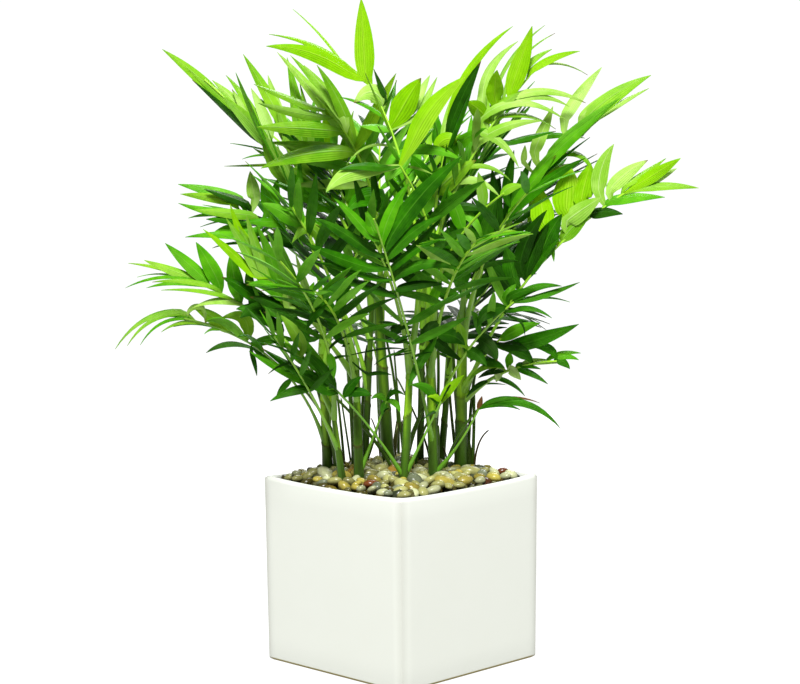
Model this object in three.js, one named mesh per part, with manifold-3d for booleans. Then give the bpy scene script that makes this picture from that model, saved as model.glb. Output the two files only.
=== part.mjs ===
// Potted parlour palm: a square glazed pot, a bed of pebbles, ten stems and forty-five fronds.
// Millimetres, +Z up, origin in the middle of the pot's flat underside.
import * as THREE from 'three';
import { mergeVertices } from 'three/addons/utils/BufferGeometryUtils.js';
import Module from 'manifold-3d';

const wasm = await Module();
wasm.setup();

// pot
const potSide = 180;
const potHeight = 172;
const potFootScale = 0.985;
const potCorner = 13;
const potWall = 7;
const potFloor = 9;
const potLip = 3;

// pebble bed
const bedTop = 170;
const bedEdge = 163;
const bedBottom = 10;
const bedShoulder = 16;
const fitGap = 0.4;

// stems and fronds
const stemSides = 7;
const petioleSides = 3;
const petioleRadius = 2.2;
const rachisThick = 2.6;
const bladeThick = 1.2;
const cutGap = 0.35;
const edgeShare = 0.016;
const bladeRows = 4;
const turn = Math.PI / 4;

// foot and crown are across and deep in the plant's own square, which is turned against the pot
const stems = {
  a: { foot: [-68, 22], crown: [-72, 18], tall: 120, radius: 5.2 },
  b: { foot: [-53, -36], crown: [-60, -38], tall: 60, radius: 4.4 },
  c: { foot: [-38, -25], crown: [-40, -18], tall: 110, radius: 5.4 },
  d: { foot: [-34, 42], crown: [-26, 40], tall: 150, radius: 4.6 },
  e: { foot: [-12, 72], crown: [-20, 66], tall: 150, radius: 6.4 },
  f: { foot: [3, -34], crown: [10, -28], tall: 120, radius: 5.2 },
  g: { foot: [30, -16], crown: [26, -10], tall: 160, radius: 5 },
  h: { foot: [56, 30], crown: [58, 26], tall: 140, radius: 7.6 },
  i: { foot: [18, 50], crown: [22, 44], tall: 150, radius: 4.8 },
  j: { foot: [38, 57], crown: [48, 66], tall: 110, radius: 4.6 },
};

// One frond to a row. It leaves its stem at height up, runs out by reach along heading (0 across,
// 90 back) and climbs by rise; bow lifts the middle of its arch and sway carries it sideways.
// Leaflets of length leaf start past the bare share, at spread degrees from the stalk, their
// plane turned by roll and folded up by lift, their tips let down by droop.
const columns = [
  'stem', 'up', 'heading', 'reach', 'rise', 'bow', 'sway', 'bare',
  'leaf', 'roll', 'lift', 'spread', 'droop',
];
const frondRows = [
  ['a', 20, 190, 130, 126, 27, 0, 0.58, 88, 20, 30, 40, 0.5],
  ['b', 60, 165, 140, 122, 22, 0, 0.46, 76, -48, 30, 66, 0.03],
  ['c', 90, 195, 82, 98, 4, 0, 0.4, 92, 10, 25, 32, -0.02],
  ['d', 70, 172, 128, 176, 30, 0, 0.52, 76, 15, 0, 46, 0.04],
  ['a', 110, 180, 104, 252, 34, 0, 0.46, 76, 0, 14, 26, 0],
  ['e', 120, 178, 106, 196, 22, 0, 0.46, 92, -60, 32, 54, -0.02],
  ['e', 150, 228, 82, 196, 34, 0, 0.52, 94, 50, 0, 60, 0.04],
  ['f', 110, 170, 36, 250, 24, 10, 0.7, 100, 0, 10, 66, 0.02],
  ['g', 30, 246, 124, 212, 8, 0, 0.44, 80, 0, 20, 64, 0.02],
  ['g', 125, 245, 60, 160, 10, 14, 0.5, 96, -20, 10, 56, 0.06],
  ['f', 92, 18, 116, 270, 24, 8, 0.6, 86, -30, 20, 56, 0.3],
  ['h', 100, 357, 110, 208, 25, 0, 0.4, 92, -14, 22, 32, 0.04],
  ['h', 60, 350, 150, 196, 22, 0, 0.4, 76, -20, 30, 56, 0.04],
  ['g', 50, 340, 78, 112, 10, 0, 0.68, 68, -10, 20, 50, 0.3],
  ['h', 70, 312, 52, 56, 4, 0, 0.84, 80, -20, 10, 50, 0.05],
  ['h', 62, 340, 92, 42, 10, 0, 0.4, 44, 0, 0, 56, 0.3],
  ['g', 2, 341, 43, 62, -3, 0, 0.9, 82, 0, 20, 30, 0.5],
  ['f', 3, 350, 34, 70, 0, 0, 0.85, 40, 0, 15, 70, 0.3],
  ['c', 3, 10, 26, 68, 0, 0, 0.85, 26, 0, 15, 52, 0.3],
  ['f', 2, 197, 108, 124, 8, 0, 0.62, 60, 0, 10, 50, 0.3],
  ['f', 98, 238, 64, 130, 10, 0, 0.5, 74, 20, 10, 60, 0.15],
  ['a', 92, 330, 60, 150, 8, 0, 0.45, 72, -10, 20, 60, 0.1],
  ['b', 28, 222, 72, 110, 4, 0, 0.5, 50, 0, 30, 56, 0.1],
  ['g', 150, 320, 86, 110, 14, 0, 0.45, 74, 0, 10, 60, 0.2],
  ['h', 130, 275, 90, 90, 20, 0, 0.45, 70, 0, 10, 62, 0.25],
  ['c', 100, 225, 76, 150, 10, 0, 0.5, 74, 0, 15, 60, 0.1],
  ['e', 100, 120, 130, 150, 26, 0, 0.42, 84, 0, 15, 60, 0.2],
  ['e', 118, 90, 110, 180, 24, 0, 0.44, 86, 0, 15, 60, 0.15],
  ['d', 120, 142, 140, 110, 28, 0, 0.44, 80, 0, 15, 60, 0.25],
  ['i', 110, 70, 120, 170, 24, 0, 0.44, 86, 0, 15, 60, 0.2],
  ['j', 80, 60, 140, 140, 26, 0, 0.44, 84, 0, 15, 60, 0.2],
  ['j', 100, 30, 108, 158, 20, 0, 0.44, 84, 0, 15, 58, 0.15],
  ['j', 50, 85, 130, 80, 26, 0, 0.44, 76, 0, 10, 60, 0.3],
  ['e', 60, 105, 118, 60, 26, 0, 0.44, 70, 0, 10, 60, 0.3],
  ['i', 60, 50, 116, 80, 26, 0, 0.44, 70, 0, 10, 60, 0.3],
  ['c', 70, 250, 100, 110, 20, 0, 0.45, 74, 0, 15, 60, 0.2],
  ['g', 90, 290, 110, 130, 20, 0, 0.45, 76, 0, 15, 60, 0.2],
  ['h', 110, 300, 110, 150, 20, 0, 0.45, 78, 0, 15, 60, 0.15],
  ['b', 57, 245, 100, 150, 16, 8, 0.45, 76, 0, 15, 60, 0.15],
  ['i', 150, 10, 70, 150, 14, 0, 0.45, 80, 0, 15, 56, 0.1],
  ['d', 150, 140, 80, 160, 16, 0, 0.45, 80, 0, 15, 56, 0.1],
  ['j', 84, 20, 88, 120, 16, 0, 0.45, 78, 0, 15, 58, 0.15],
  ['g', 140, 20, 30, 205, 8, 0, 0.45, 84, 0, 15, 56, 0.1],
  ['i', 130, 20, 70, 185, 14, 0, 0.4, 80, 0, 15, 50, 0.1],
  ['e', 130, 45, 76, 168, 16, 0, 0.4, 80, 0, 15, 50, 0.1],
];

const radians = THREE.MathUtils.degToRad;

function stemPoint(name, up) {
  const stem = stems[name];
  const share = up / stem.tall;
  return new THREE.Vector3(
    stem.foot[0] + (stem.crown[0] - stem.foot[0]) * share,
    stem.foot[1] + (stem.crown[1] - stem.foot[1]) * share,
    172 + up,
  );
}

// stalk of a frond, with the cross directions of its leaf plane
class FrondCurve extends THREE.Curve {
  constructor(frond) {
    super();
    const heading = radians(frond.heading);
    const length = Math.hypot(frond.reach, frond.rise);
    this.frond = frond;
    this.root = stemPoint(frond.stem, frond.up);
    this.out = new THREE.Vector3(Math.cos(heading), Math.sin(heading), 0);
    this.side = new THREE.Vector3(-Math.sin(heading), Math.cos(heading), 0);
    this.crest = this.out.clone().multiplyScalar(-frond.rise / length);
    this.crest.z += frond.reach / length;
  }

  getPoint(t) {
    const arch = 4 * t * (1 - t);
    const point = this.root.clone();
    point.addScaledVector(this.out, this.frond.reach * t);
    point.z += this.frond.rise * t;
    point.addScaledVector(this.crest, this.frond.bow * arch);
    return point.addScaledVector(this.side, this.frond.sway * arch);
  }

  frameAt(t) {
    const along = this.getTangent(t);
    const across = this.side.clone().addScaledVector(along, -this.side.dot(along)).normalize();
    const above = new THREE.Vector3().crossVectors(along, across);
    if (above.dot(this.crest) < 0) above.negate();
    const roll = radians(this.frond.roll);
    const turned = across.clone().multiplyScalar(Math.cos(roll));
    turned.addScaledVector(above, Math.sin(roll));
    const upright = above.multiplyScalar(Math.cos(roll));
    upright.addScaledVector(across, -Math.sin(roll));
    return { along, across: turned, above: upright };
  }
}

// point of a leaflet's midrib: u along the leafy part, side -1 or 1, s from stalk to tip
function leafletPoint(curve, u, side, s) {
  const { frond } = curve;
  const t = frond.bare + (1 - frond.bare) * u;
  const { along, across, above } = curve.frameAt(Math.min(t, 1));
  const angle = radians(frond.spread * (1 - 0.55 * u));
  const lift = radians(frond.lift);
  const length = frond.leaf * (0.74 + 0.26 * Math.sin(Math.PI * Math.min(1, 0.12 + 0.8 * u)));
  const point = curve.getPoint(t);
  point.addScaledVector(along, Math.cos(angle) * length * s);
  point.addScaledVector(across, side * Math.cos(lift) * Math.sin(angle) * length * s);
  point.addScaledVector(above, Math.sin(lift) * Math.sin(angle) * length * s);
  point.z -= frond.droop * length * s * s;
  return point;
}

// moves every vertex of a geometry by a rule, and leaves only positions
function reshape(geometry, rule) {
  const shaped = geometry.clone();
  shaped.deleteAttribute('normal');
  shaped.deleteAttribute('uv');
  const merged = mergeVertices(shaped, 1e-5);
  const place = merged.attributes.position;
  const point = new THREE.Vector3();
  for (let i = 0; i < place.count; i += 1) {
    point.fromBufferAttribute(place, i);
    rule(point);
    place.setXYZ(i, point.x, point.y, point.z);
  }
  return merged;
}

function toSolid(geometry) {
  return new wasm.Manifold(new wasm.Mesh({
    numProp: 3,
    vertProperties: Float32Array.from(geometry.attributes.position.array),
    triVerts: Uint32Array.from(geometry.index.array),
  }));
}

function toGeometry(solid) {
  const mesh = solid.getMesh();
  const geometry = new THREE.BufferGeometry();
  geometry.setAttribute('position', new THREE.BufferAttribute(mesh.vertProperties, 3));
  geometry.setIndex(new THREE.BufferAttribute(mesh.triVerts, 1));
  geometry.computeVertexNormals();
  return geometry;
}

function largestPiece(solid) {
  const pieces = solid.decompose();
  return pieces.reduce((best, piece) => (piece.volume() > best.volume() ? piece : best));
}

// a cylinder swept along a curve from one share of it to another, thinning as it goes
function sweptStalk(curve, start, end, radiusStart, radiusEnd, sides, steps) {
  const rod = new THREE.CylinderGeometry(1, 1, 1, sides, steps);
  return reshape(rod, (point) => {
    const share = point.y + 0.5;
    const t = start + (end - start) * share;
    const radius = radiusStart + (radiusEnd - radiusStart) * share;
    const { across, above } = curve.frameAt(t);
    const centre = curve.getPoint(t);
    centre.addScaledVector(across, -point.x * radius);
    centre.addScaledVector(above, point.z * radius);
    point.copy(centre);
  });
}

// a flat sheet with the same diagonals above and below: x is -1, 0 or 1 across, y counts its rows
// along, z is 1 above and -1 below
function sheetGeometry() {
  const lines = [-1, 0, 1];
  const places = [];
  const faces = [];
  const at = (line, row, layer) => {
    const first = layer > 0 ? 0 : bladeRows + 1;
    return (first + row) * lines.length + line + 1;
  };
  [1, -1].forEach((layer) => {
    for (let row = 0; row <= bladeRows; row += 1) {
      lines.forEach((line) => places.push(line, row, layer));
    }
  });
  const addFace = (a, b, c) => {
    faces.push(at(...a, 1), at(...b, 1), at(...c, 1));
    faces.push(at(...a, -1), at(...c, -1), at(...b, -1));
  };
  const addEdge = (a, b) => {
    faces.push(at(...a, 1), at(...a, -1), at(...b, -1));
    faces.push(at(...a, 1), at(...b, -1), at(...b, 1));
  };
  for (let row = 0; row < bladeRows; row += 1) {
    addFace([-1, row], [0, row], [-1, row + 1]);
    addFace([0, row], [0, row + 1], [-1, row + 1]);
    addFace([0, row], [1, row], [1, row + 1]);
    addFace([0, row], [1, row + 1], [0, row + 1]);
    addEdge([1, row], [1, row + 1]);
    addEdge([-1, row + 1], [-1, row]);
  }
  [-1, 0].forEach((line) => {
    addEdge([line, 0], [line + 1, 0]);
    addEdge([line + 1, bladeRows], [line, bladeRows]);
  });
  const geometry = new THREE.BufferGeometry();
  geometry.setAttribute('position', new THREE.Float32BufferAttribute(places, 3));
  geometry.setIndex(faces);
  return geometry;
}

// the blade: three lines run its length, tips, stalk, tips, and it is thickest on the stalk
function frondBlade(curve, extra) {
  const stretch = 1 + 2 * extra * edgeShare;
  const place = (line, u) => leafletPoint(
    curve,
    0.5 + (u - 0.5) * stretch,
    line || 1,
    Math.abs(line) * stretch,
  );
  const step = 0.02;
  return reshape(sheetGeometry(), (point) => {
    const line = Math.round(point.x);
    const u = point.y / bladeRows;
    const layer = point.z;
    const centre = place(line, u);
    const ahead = place(line, Math.min(1, u + step)).sub(place(line, Math.max(0, u - step)));
    const inner = Math.max(-1, line - 1);
    const outer = Math.min(1, line + 1);
    const wide = place(outer, u).sub(place(inner, u));
    const normal = new THREE.Vector3().crossVectors(wide, ahead).normalize();
    const half = (line === 0 ? rachisThick : bladeThick) / 2 + extra;
    point.copy(centre.addScaledVector(normal, layer * half));
  });
}

function stemGeometry(name) {
  const stem = stems[name];
  const rod = new THREE.CylinderGeometry(1, 1, 1, stemSides, 3);
  return reshape(rod, (point) => {
    const share = point.y + 0.5;
    const flare = 1.08 - 0.26 * share + 0.2 * Math.max(0, 1 - share * 6);
    const low = bedTop + fitGap;
    const high = 172 + stem.tall;
    const centre = stemPoint(name, share * stem.tall);
    centre.z = low + (high - low) * share;
    centre.x += point.x * stem.radius * flare;
    centre.y -= point.z * stem.radius * flare;
    point.copy(centre);
  });
}

// square of the pot with rounded corners
function potSquare(side, corner) {
  const half = side / 2;
  const shape = new THREE.Shape();
  shape.moveTo(-half + corner, -half);
  shape.lineTo(half - corner, -half);
  shape.absarc(half - corner, -half + corner, corner, -Math.PI / 2, 0);
  shape.lineTo(half, half - corner);
  shape.absarc(half - corner, half - corner, corner, 0, Math.PI / 2);
  shape.lineTo(-half + corner, half);
  shape.absarc(-half + corner, half - corner, corner, Math.PI / 2, Math.PI);
  shape.lineTo(-half, -half + corner);
  shape.absarc(-half + corner, -half + corner, corner, Math.PI, Math.PI * 1.5);
  shape.closePath();
  return shape;
}

function tapered(geometry) {
  return reshape(geometry, (point) => {
    const scale = potFootScale + (1 - potFootScale) * (point.z / potHeight);
    point.x *= scale;
    point.y *= scale;
  });
}

function potGeometry() {
  const body = new THREE.ExtrudeGeometry(potSquare(potSide - 2 * potLip, potCorner - potLip), {
    depth: potHeight - 2 * potLip,
    bevelThickness: potLip,
    bevelSize: potLip,
    bevelSegments: 2,
    curveSegments: 3,
  });
  body.translate(0, 0, potLip);
  const hollow = new THREE.ExtrudeGeometry(potSquare(potSide - 2 * potWall, potCorner - potWall / 2), {
    depth: potHeight,
    bevelEnabled: false,
    curveSegments: 3,
  });
  hollow.translate(0, 0, potFloor);
  return toGeometry(toSolid(tapered(body)).subtract(toSolid(tapered(hollow))));
}

function bedGeometry() {
  const inner = potSide - 2 * potWall - 2 * fitGap;
  const fill = new THREE.ExtrudeGeometry(potSquare(inner - 2 * bedShoulder, potCorner), {
    depth: bedTop - bedBottom - (bedTop - bedEdge),
    bevelThickness: bedTop - bedEdge,
    bevelSize: bedShoulder,
    bevelSegments: 1,
    curveSegments: 3,
  });
  fill.translate(0, 0, bedBottom);
  return tapered(reshape(fill, (point) => {
    if (point.z < bedBottom - 0.1) point.z = bedBottom + 0.01;
  }));
}

const root = new THREE.Group();
root.name = 'parlour_palm';

function addPart(name, geometry, color, roughness) {
  const material = new THREE.MeshStandardMaterial({ color, roughness, metalness: 0 });
  const mesh = new THREE.Mesh(geometry, material);
  mesh.name = name;
  root.add(mesh);
}

addPart('pot', potGeometry(), 0xe9ebe3, 0.15);
addPart('pebbles', bedGeometry(), 0xc9b98a, 0.6);

const stemNames = Object.keys(stems);
const stemSolids = stemNames.map((name) => toSolid(stemGeometry(name)));
stemSolids.forEach((solid, i) => {
  const geometry = toGeometry(solid);
  geometry.rotateZ(turn);
  addPart(`stem_${i + 1}`, geometry, 0x6f9a3a, 0.5);
});

function boxesMeet(first, second) {
  const a = first.boundingBox();
  const b = second.boundingBox();
  return [0, 1, 2].every((axis) => a.min[axis] < b.max[axis] && b.min[axis] < a.max[axis]);
}

const fronds = frondRows.map((row) => {
  const frond = Object.fromEntries(columns.map((column, i) => [column, row[i]]));
  const curve = new FrondCurve(frond);
  const join = frond.bare + (1 - frond.bare) * 0.06;
  const thin = rachisThick / 2;
  const petiole = (extra) => toSolid(
    sweptStalk(curve, 0, join, petioleRadius + extra, thin + extra, petioleSides, 3),
  );
  const rachis = toSolid(
    sweptStalk(curve, frond.bare, 1, thin + cutGap, thin + cutGap, petioleSides, bladeRows),
  );
  return {
    body: petiole(0).add(toSolid(frondBlade(curve, 0))),
    keepClear: petiole(cutGap).add(rachis),
    blade: toSolid(frondBlade(curve, cutGap)),
  };
});

const stemClear = stemNames.map((name, i) => {
  const grown = stemGeometry(name);
  const centre = stemPoint(name, stems[name].tall / 2);
  return toSolid(reshape(grown, (point) => {
    const axis = stemPoint(name, point.z - 172);
    const away = new THREE.Vector3(point.x - axis.x, point.y - axis.y, 0);
    if (away.length() > 0) away.setLength(cutGap);
    point.add(away);
    point.z += point.z > centre.z ? cutGap : 0;
  }));
});

// a frond gives way to the stems, to the stalks of all others and to the blades before it
fronds.forEach((frond, i) => {
  let solid = frond.body;
  const cutters = [...stemClear];
  fronds.forEach((other, k) => {
    if (k !== i) cutters.push(other.keepClear);
    if (k < i) cutters.push(other.blade);
  });
  cutters.filter((cutter) => boxesMeet(solid, cutter)).forEach((cutter) => {
    solid = solid.subtract(cutter);
  });
  const geometry = toGeometry(largestPiece(solid));
  geometry.rotateZ(turn);
  addPart(`frond_${i + 1}`, geometry, 0x4f9a1c, 0.4);
});

export default root;
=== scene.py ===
import math

import bmesh
import bpy
import numpy as np
from mathutils import Matrix, Vector


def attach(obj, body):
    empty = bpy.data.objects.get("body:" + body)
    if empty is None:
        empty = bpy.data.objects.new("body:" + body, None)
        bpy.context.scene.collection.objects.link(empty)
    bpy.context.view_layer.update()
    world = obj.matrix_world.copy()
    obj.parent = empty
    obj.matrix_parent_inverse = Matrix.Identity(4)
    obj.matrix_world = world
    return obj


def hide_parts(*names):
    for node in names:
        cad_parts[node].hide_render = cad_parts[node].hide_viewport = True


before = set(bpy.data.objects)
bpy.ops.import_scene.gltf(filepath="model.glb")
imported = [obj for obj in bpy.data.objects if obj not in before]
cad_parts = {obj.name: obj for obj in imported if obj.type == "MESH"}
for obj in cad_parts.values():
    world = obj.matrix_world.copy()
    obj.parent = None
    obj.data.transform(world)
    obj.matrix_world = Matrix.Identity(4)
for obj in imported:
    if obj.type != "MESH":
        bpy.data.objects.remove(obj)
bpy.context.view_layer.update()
print("frame loaded")

# the plant's own square is turned against the pot, and its sizes are in millimetres
plant = {"turn": math.radians(45), "ground": 172, "unit": 0.001, "seed": 7}

# foot and crown are across and deep, tall is the height above the ground
stems = {
    "a": {"foot": (-68, 22), "crown": (-72, 18), "tall": 120, "radius": 4.8, "green": 0.8,
          "scars": (0.55, 0.22)},
    "b": {"foot": (-53, -36), "crown": (-60, -38), "tall": 60, "radius": 3.6, "green": 0.5,
          "scars": (0.5,)},
    "c": {"foot": (-38, -25), "crown": (-40, -18), "tall": 110, "radius": 4.6, "green": 0.45,
          "scars": (0.3, 0.52)},
    "d": {"foot": (-34, 42), "crown": (-26, 40), "tall": 150, "radius": 3.6, "green": 0.35,
          "scars": (0.4, 0.7)},
    "e": {"foot": (-12, 72), "crown": (-20, 66), "tall": 150, "radius": 6.4, "green": 0.5,
          "scars": (0.32, 0.62)},
    "f": {"foot": (3, -34), "crown": (10, -28), "tall": 120, "radius": 4.4, "green": 0.7,
          "scars": (0.5,)},
    "g": {"foot": (30, -16), "crown": (26, -10), "tall": 160, "radius": 4.8, "green": 0.85,
          "scars": (0.36, 0.62)},
    "h": {"foot": (56, 30), "crown": (58, 26), "tall": 140, "radius": 6.2, "green": 0.75,
          "scars": (0.3, 0.5, 0.8)},
    "i": {"foot": (18, 50), "crown": (22, 44), "tall": 150, "radius": 3.6, "green": 0.3,
          "scars": (0.3, 0.6)},
    "j": {"foot": (38, 57), "crown": (48, 66), "tall": 110, "radius": 3.6, "green": 0.35,
          "scars": (0.35, 0.7)},
}

# one frond to a row, in the order of the nodes
# the tint is partly painted light and shade: lighter for fronds out in the light, darker for those in
# the shade inside the crown
frondColumns = ("stem", "up", "heading", "reach", "rise", "bow", "sway", "bare",
                "pairs", "rows", "leaf", "roll", "lift", "spread", "droop", "tint")
frondRows = (
    ("a", 20, 190, 130, 126, 27, 0, 0.58, 2, 0.25, 88, 20, 30, 40, 0.5, "bright"),
    ("b", 60, 165, 140, 122, 22, 0, 0.46, 0, 0.3, 76, -48, 30, 66, 0.03, "bright"),
    ("c", 90, 195, 82, 98, 4, 0, 0.4, 3, 0.35, 92, 10, 25, 32, -0.02, "spring"),
    ("d", 70, 172, 128, 176, 30, 0, 0.52, 3, 0.3, 76, 15, 0, 46, 0.04, "bright"),
    ("a", 110, 180, 104, 252, 34, 0, 0.46, 4, 0.4, 76, 0, 14, 26, 0, "spring"),
    ("e", 120, 178, 106, 196, 22, 0, 0.46, 4, 0.4, 92, -60, 32, 54, -0.02, "spring"),
    ("e", 150, 228, 82, 196, 34, 0, 0.52, 3, 0.35, 94, 50, 0, 60, 0.04, "spring"),
    ("f", 110, 170, 36, 250, 24, 10, 0.7, 2, 0.3, 100, 0, 10, 66, 0.02, "spring"),
    ("g", 30, 246, 124, 212, 8, 0, 0.44, 2, 0.15, 80, 0, 20, 64, 0.02, "bright"),
    ("g", 125, 245, 60, 160, 10, 14, 0.5, 2, 0.3, 96, -20, 10, 56, 0.06, "bright"),
    ("f", 92, 18, 116, 270, 24, 8, 0.6, 3, 0.3, 86, -30, 20, 56, 0.3, "spring"),
    ("h", 100, 357, 110, 208, 25, 0, 0.4, 0, 0.3, 92, -14, 22, 32, 0.04, "spring"),
    ("h", 60, 350, 150, 196, 22, 0, 0.4, 1, 0.3, 76, -20, 30, 56, 0.04, "spring"),
    ("g", 50, 340, 78, 112, 10, 0, 0.68, 2, 0.3, 68, -10, 20, 50, 0.3, "bright"),
    ("h", 70, 312, 52, 56, 4, 0, 0.84, 0, 0.5, 80, -20, 10, 50, 0.05, "bright"),
    ("h", 62, 340, 92, 42, 10, 0, 0.4, 0, 0.5, 44, 0, 0, 56, 0.3, "green"),
    ("g", 2, 341, 43, 62, -3, 0, 0.9, 0, 0.5, 82, 0, 20, 30, 0.5, "green"),
    ("f", 3, 350, 34, 70, 0, 0, 0.85, 2, 1, 40, 0, 15, 70, 0.3, "green"),
    ("c", 3, 10, 26, 68, 0, 0, 0.85, 2, 1, 26, 0, 15, 52, 0.3, "green"),
    ("f", 2, 197, 108, 124, 8, 0, 0.62, 3, 0.6, 60, 0, 10, 50, 0.3, "green"),
    ("f", 98, 238, 64, 130, 10, 0, 0.5, 5, 1, 74, 20, 10, 60, 0.15, "green"),
    ("a", 92, 330, 60, 150, 8, 0, 0.45, 6, 1, 72, -10, 20, 60, 0.1, "green"),
    ("b", 28, 222, 72, 110, 4, 0, 0.5, 5, 1, 50, 0, 30, 56, 0.1, "green"),
    ("g", 150, 320, 86, 110, 14, 0, 0.45, 0, 1, 74, 0, 10, 60, 0.2, "bright"),
    ("h", 130, 275, 90, 90, 20, 0, 0.45, 5, 1, 70, 0, 10, 62, 0.25, "bright"),
    ("c", 100, 225, 76, 150, 10, 0, 0.5, 6, 1, 74, 0, 15, 60, 0.1, "green"),
    ("e", 100, 120, 130, 150, 26, 0, 0.42, 9, 1, 84, 0, 15, 60, 0.2, "green"),
    ("e", 118, 90, 110, 180, 24, 0, 0.44, 9, 1, 86, 0, 15, 60, 0.15, "green"),
    ("d", 120, 142, 140, 110, 28, 0, 0.44, 9, 1, 80, 0, 15, 60, 0.25, "green"),
    ("i", 110, 70, 120, 170, 24, 0, 0.44, 9, 1, 86, 0, 15, 60, 0.2, "green"),
    ("j", 80, 60, 140, 140, 26, 0, 0.44, 9, 1, 84, 0, 15, 60, 0.2, "green"),
    ("j", 100, 30, 108, 158, 20, 0, 0.44, 9, 1, 84, 0, 15, 58, 0.15, "green"),
    ("j", 50, 85, 130, 80, 26, 0, 0.44, 9, 1, 76, 0, 10, 60, 0.3, "dark"),
    ("e", 60, 105, 118, 60, 26, 0, 0.44, 9, 1, 70, 0, 10, 60, 0.3, "dark"),
    ("i", 60, 50, 116, 80, 26, 0, 0.44, 9, 1, 70, 0, 10, 60, 0.3, "dark"),
    ("c", 70, 250, 100, 110, 20, 0, 0.45, 8, 1, 74, 0, 15, 60, 0.2, "green"),
    ("g", 90, 290, 110, 130, 20, 0, 0.45, 8, 1, 76, 0, 15, 60, 0.2, "bright"),
    ("h", 110, 300, 110, 150, 20, 0, 0.45, 3, 1, 78, 0, 15, 60, 0.15, "green"),
    ("b", 57, 245, 100, 150, 16, 8, 0.45, 4, 1, 76, 0, 15, 60, 0.15, "bright"),
    ("i", 150, 10, 70, 150, 14, 0, 0.45, 8, 1, 80, 0, 15, 56, 0.1, "bright"),
    ("d", 150, 140, 80, 160, 16, 0, 0.45, 8, 1, 80, 0, 15, 56, 0.1, "green"),
    ("j", 84, 20, 88, 120, 16, 0, 0.45, 8, 1, 78, 0, 15, 58, 0.15, "green"),
    ("g", 140, 20, 30, 205, 8, 0, 0.45, 3, 0.5, 84, 0, 15, 56, 0.1, "bright"),
    ("i", 130, 20, 70, 185, 14, 0, 0.4, 6, 1, 80, 0, 15, 50, 0.1, "bright"),
    ("e", 130, 45, 76, 168, 16, 0, 0.4, 7, 1, 80, 0, 15, 50, 0.1, "bright"),
)
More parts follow.
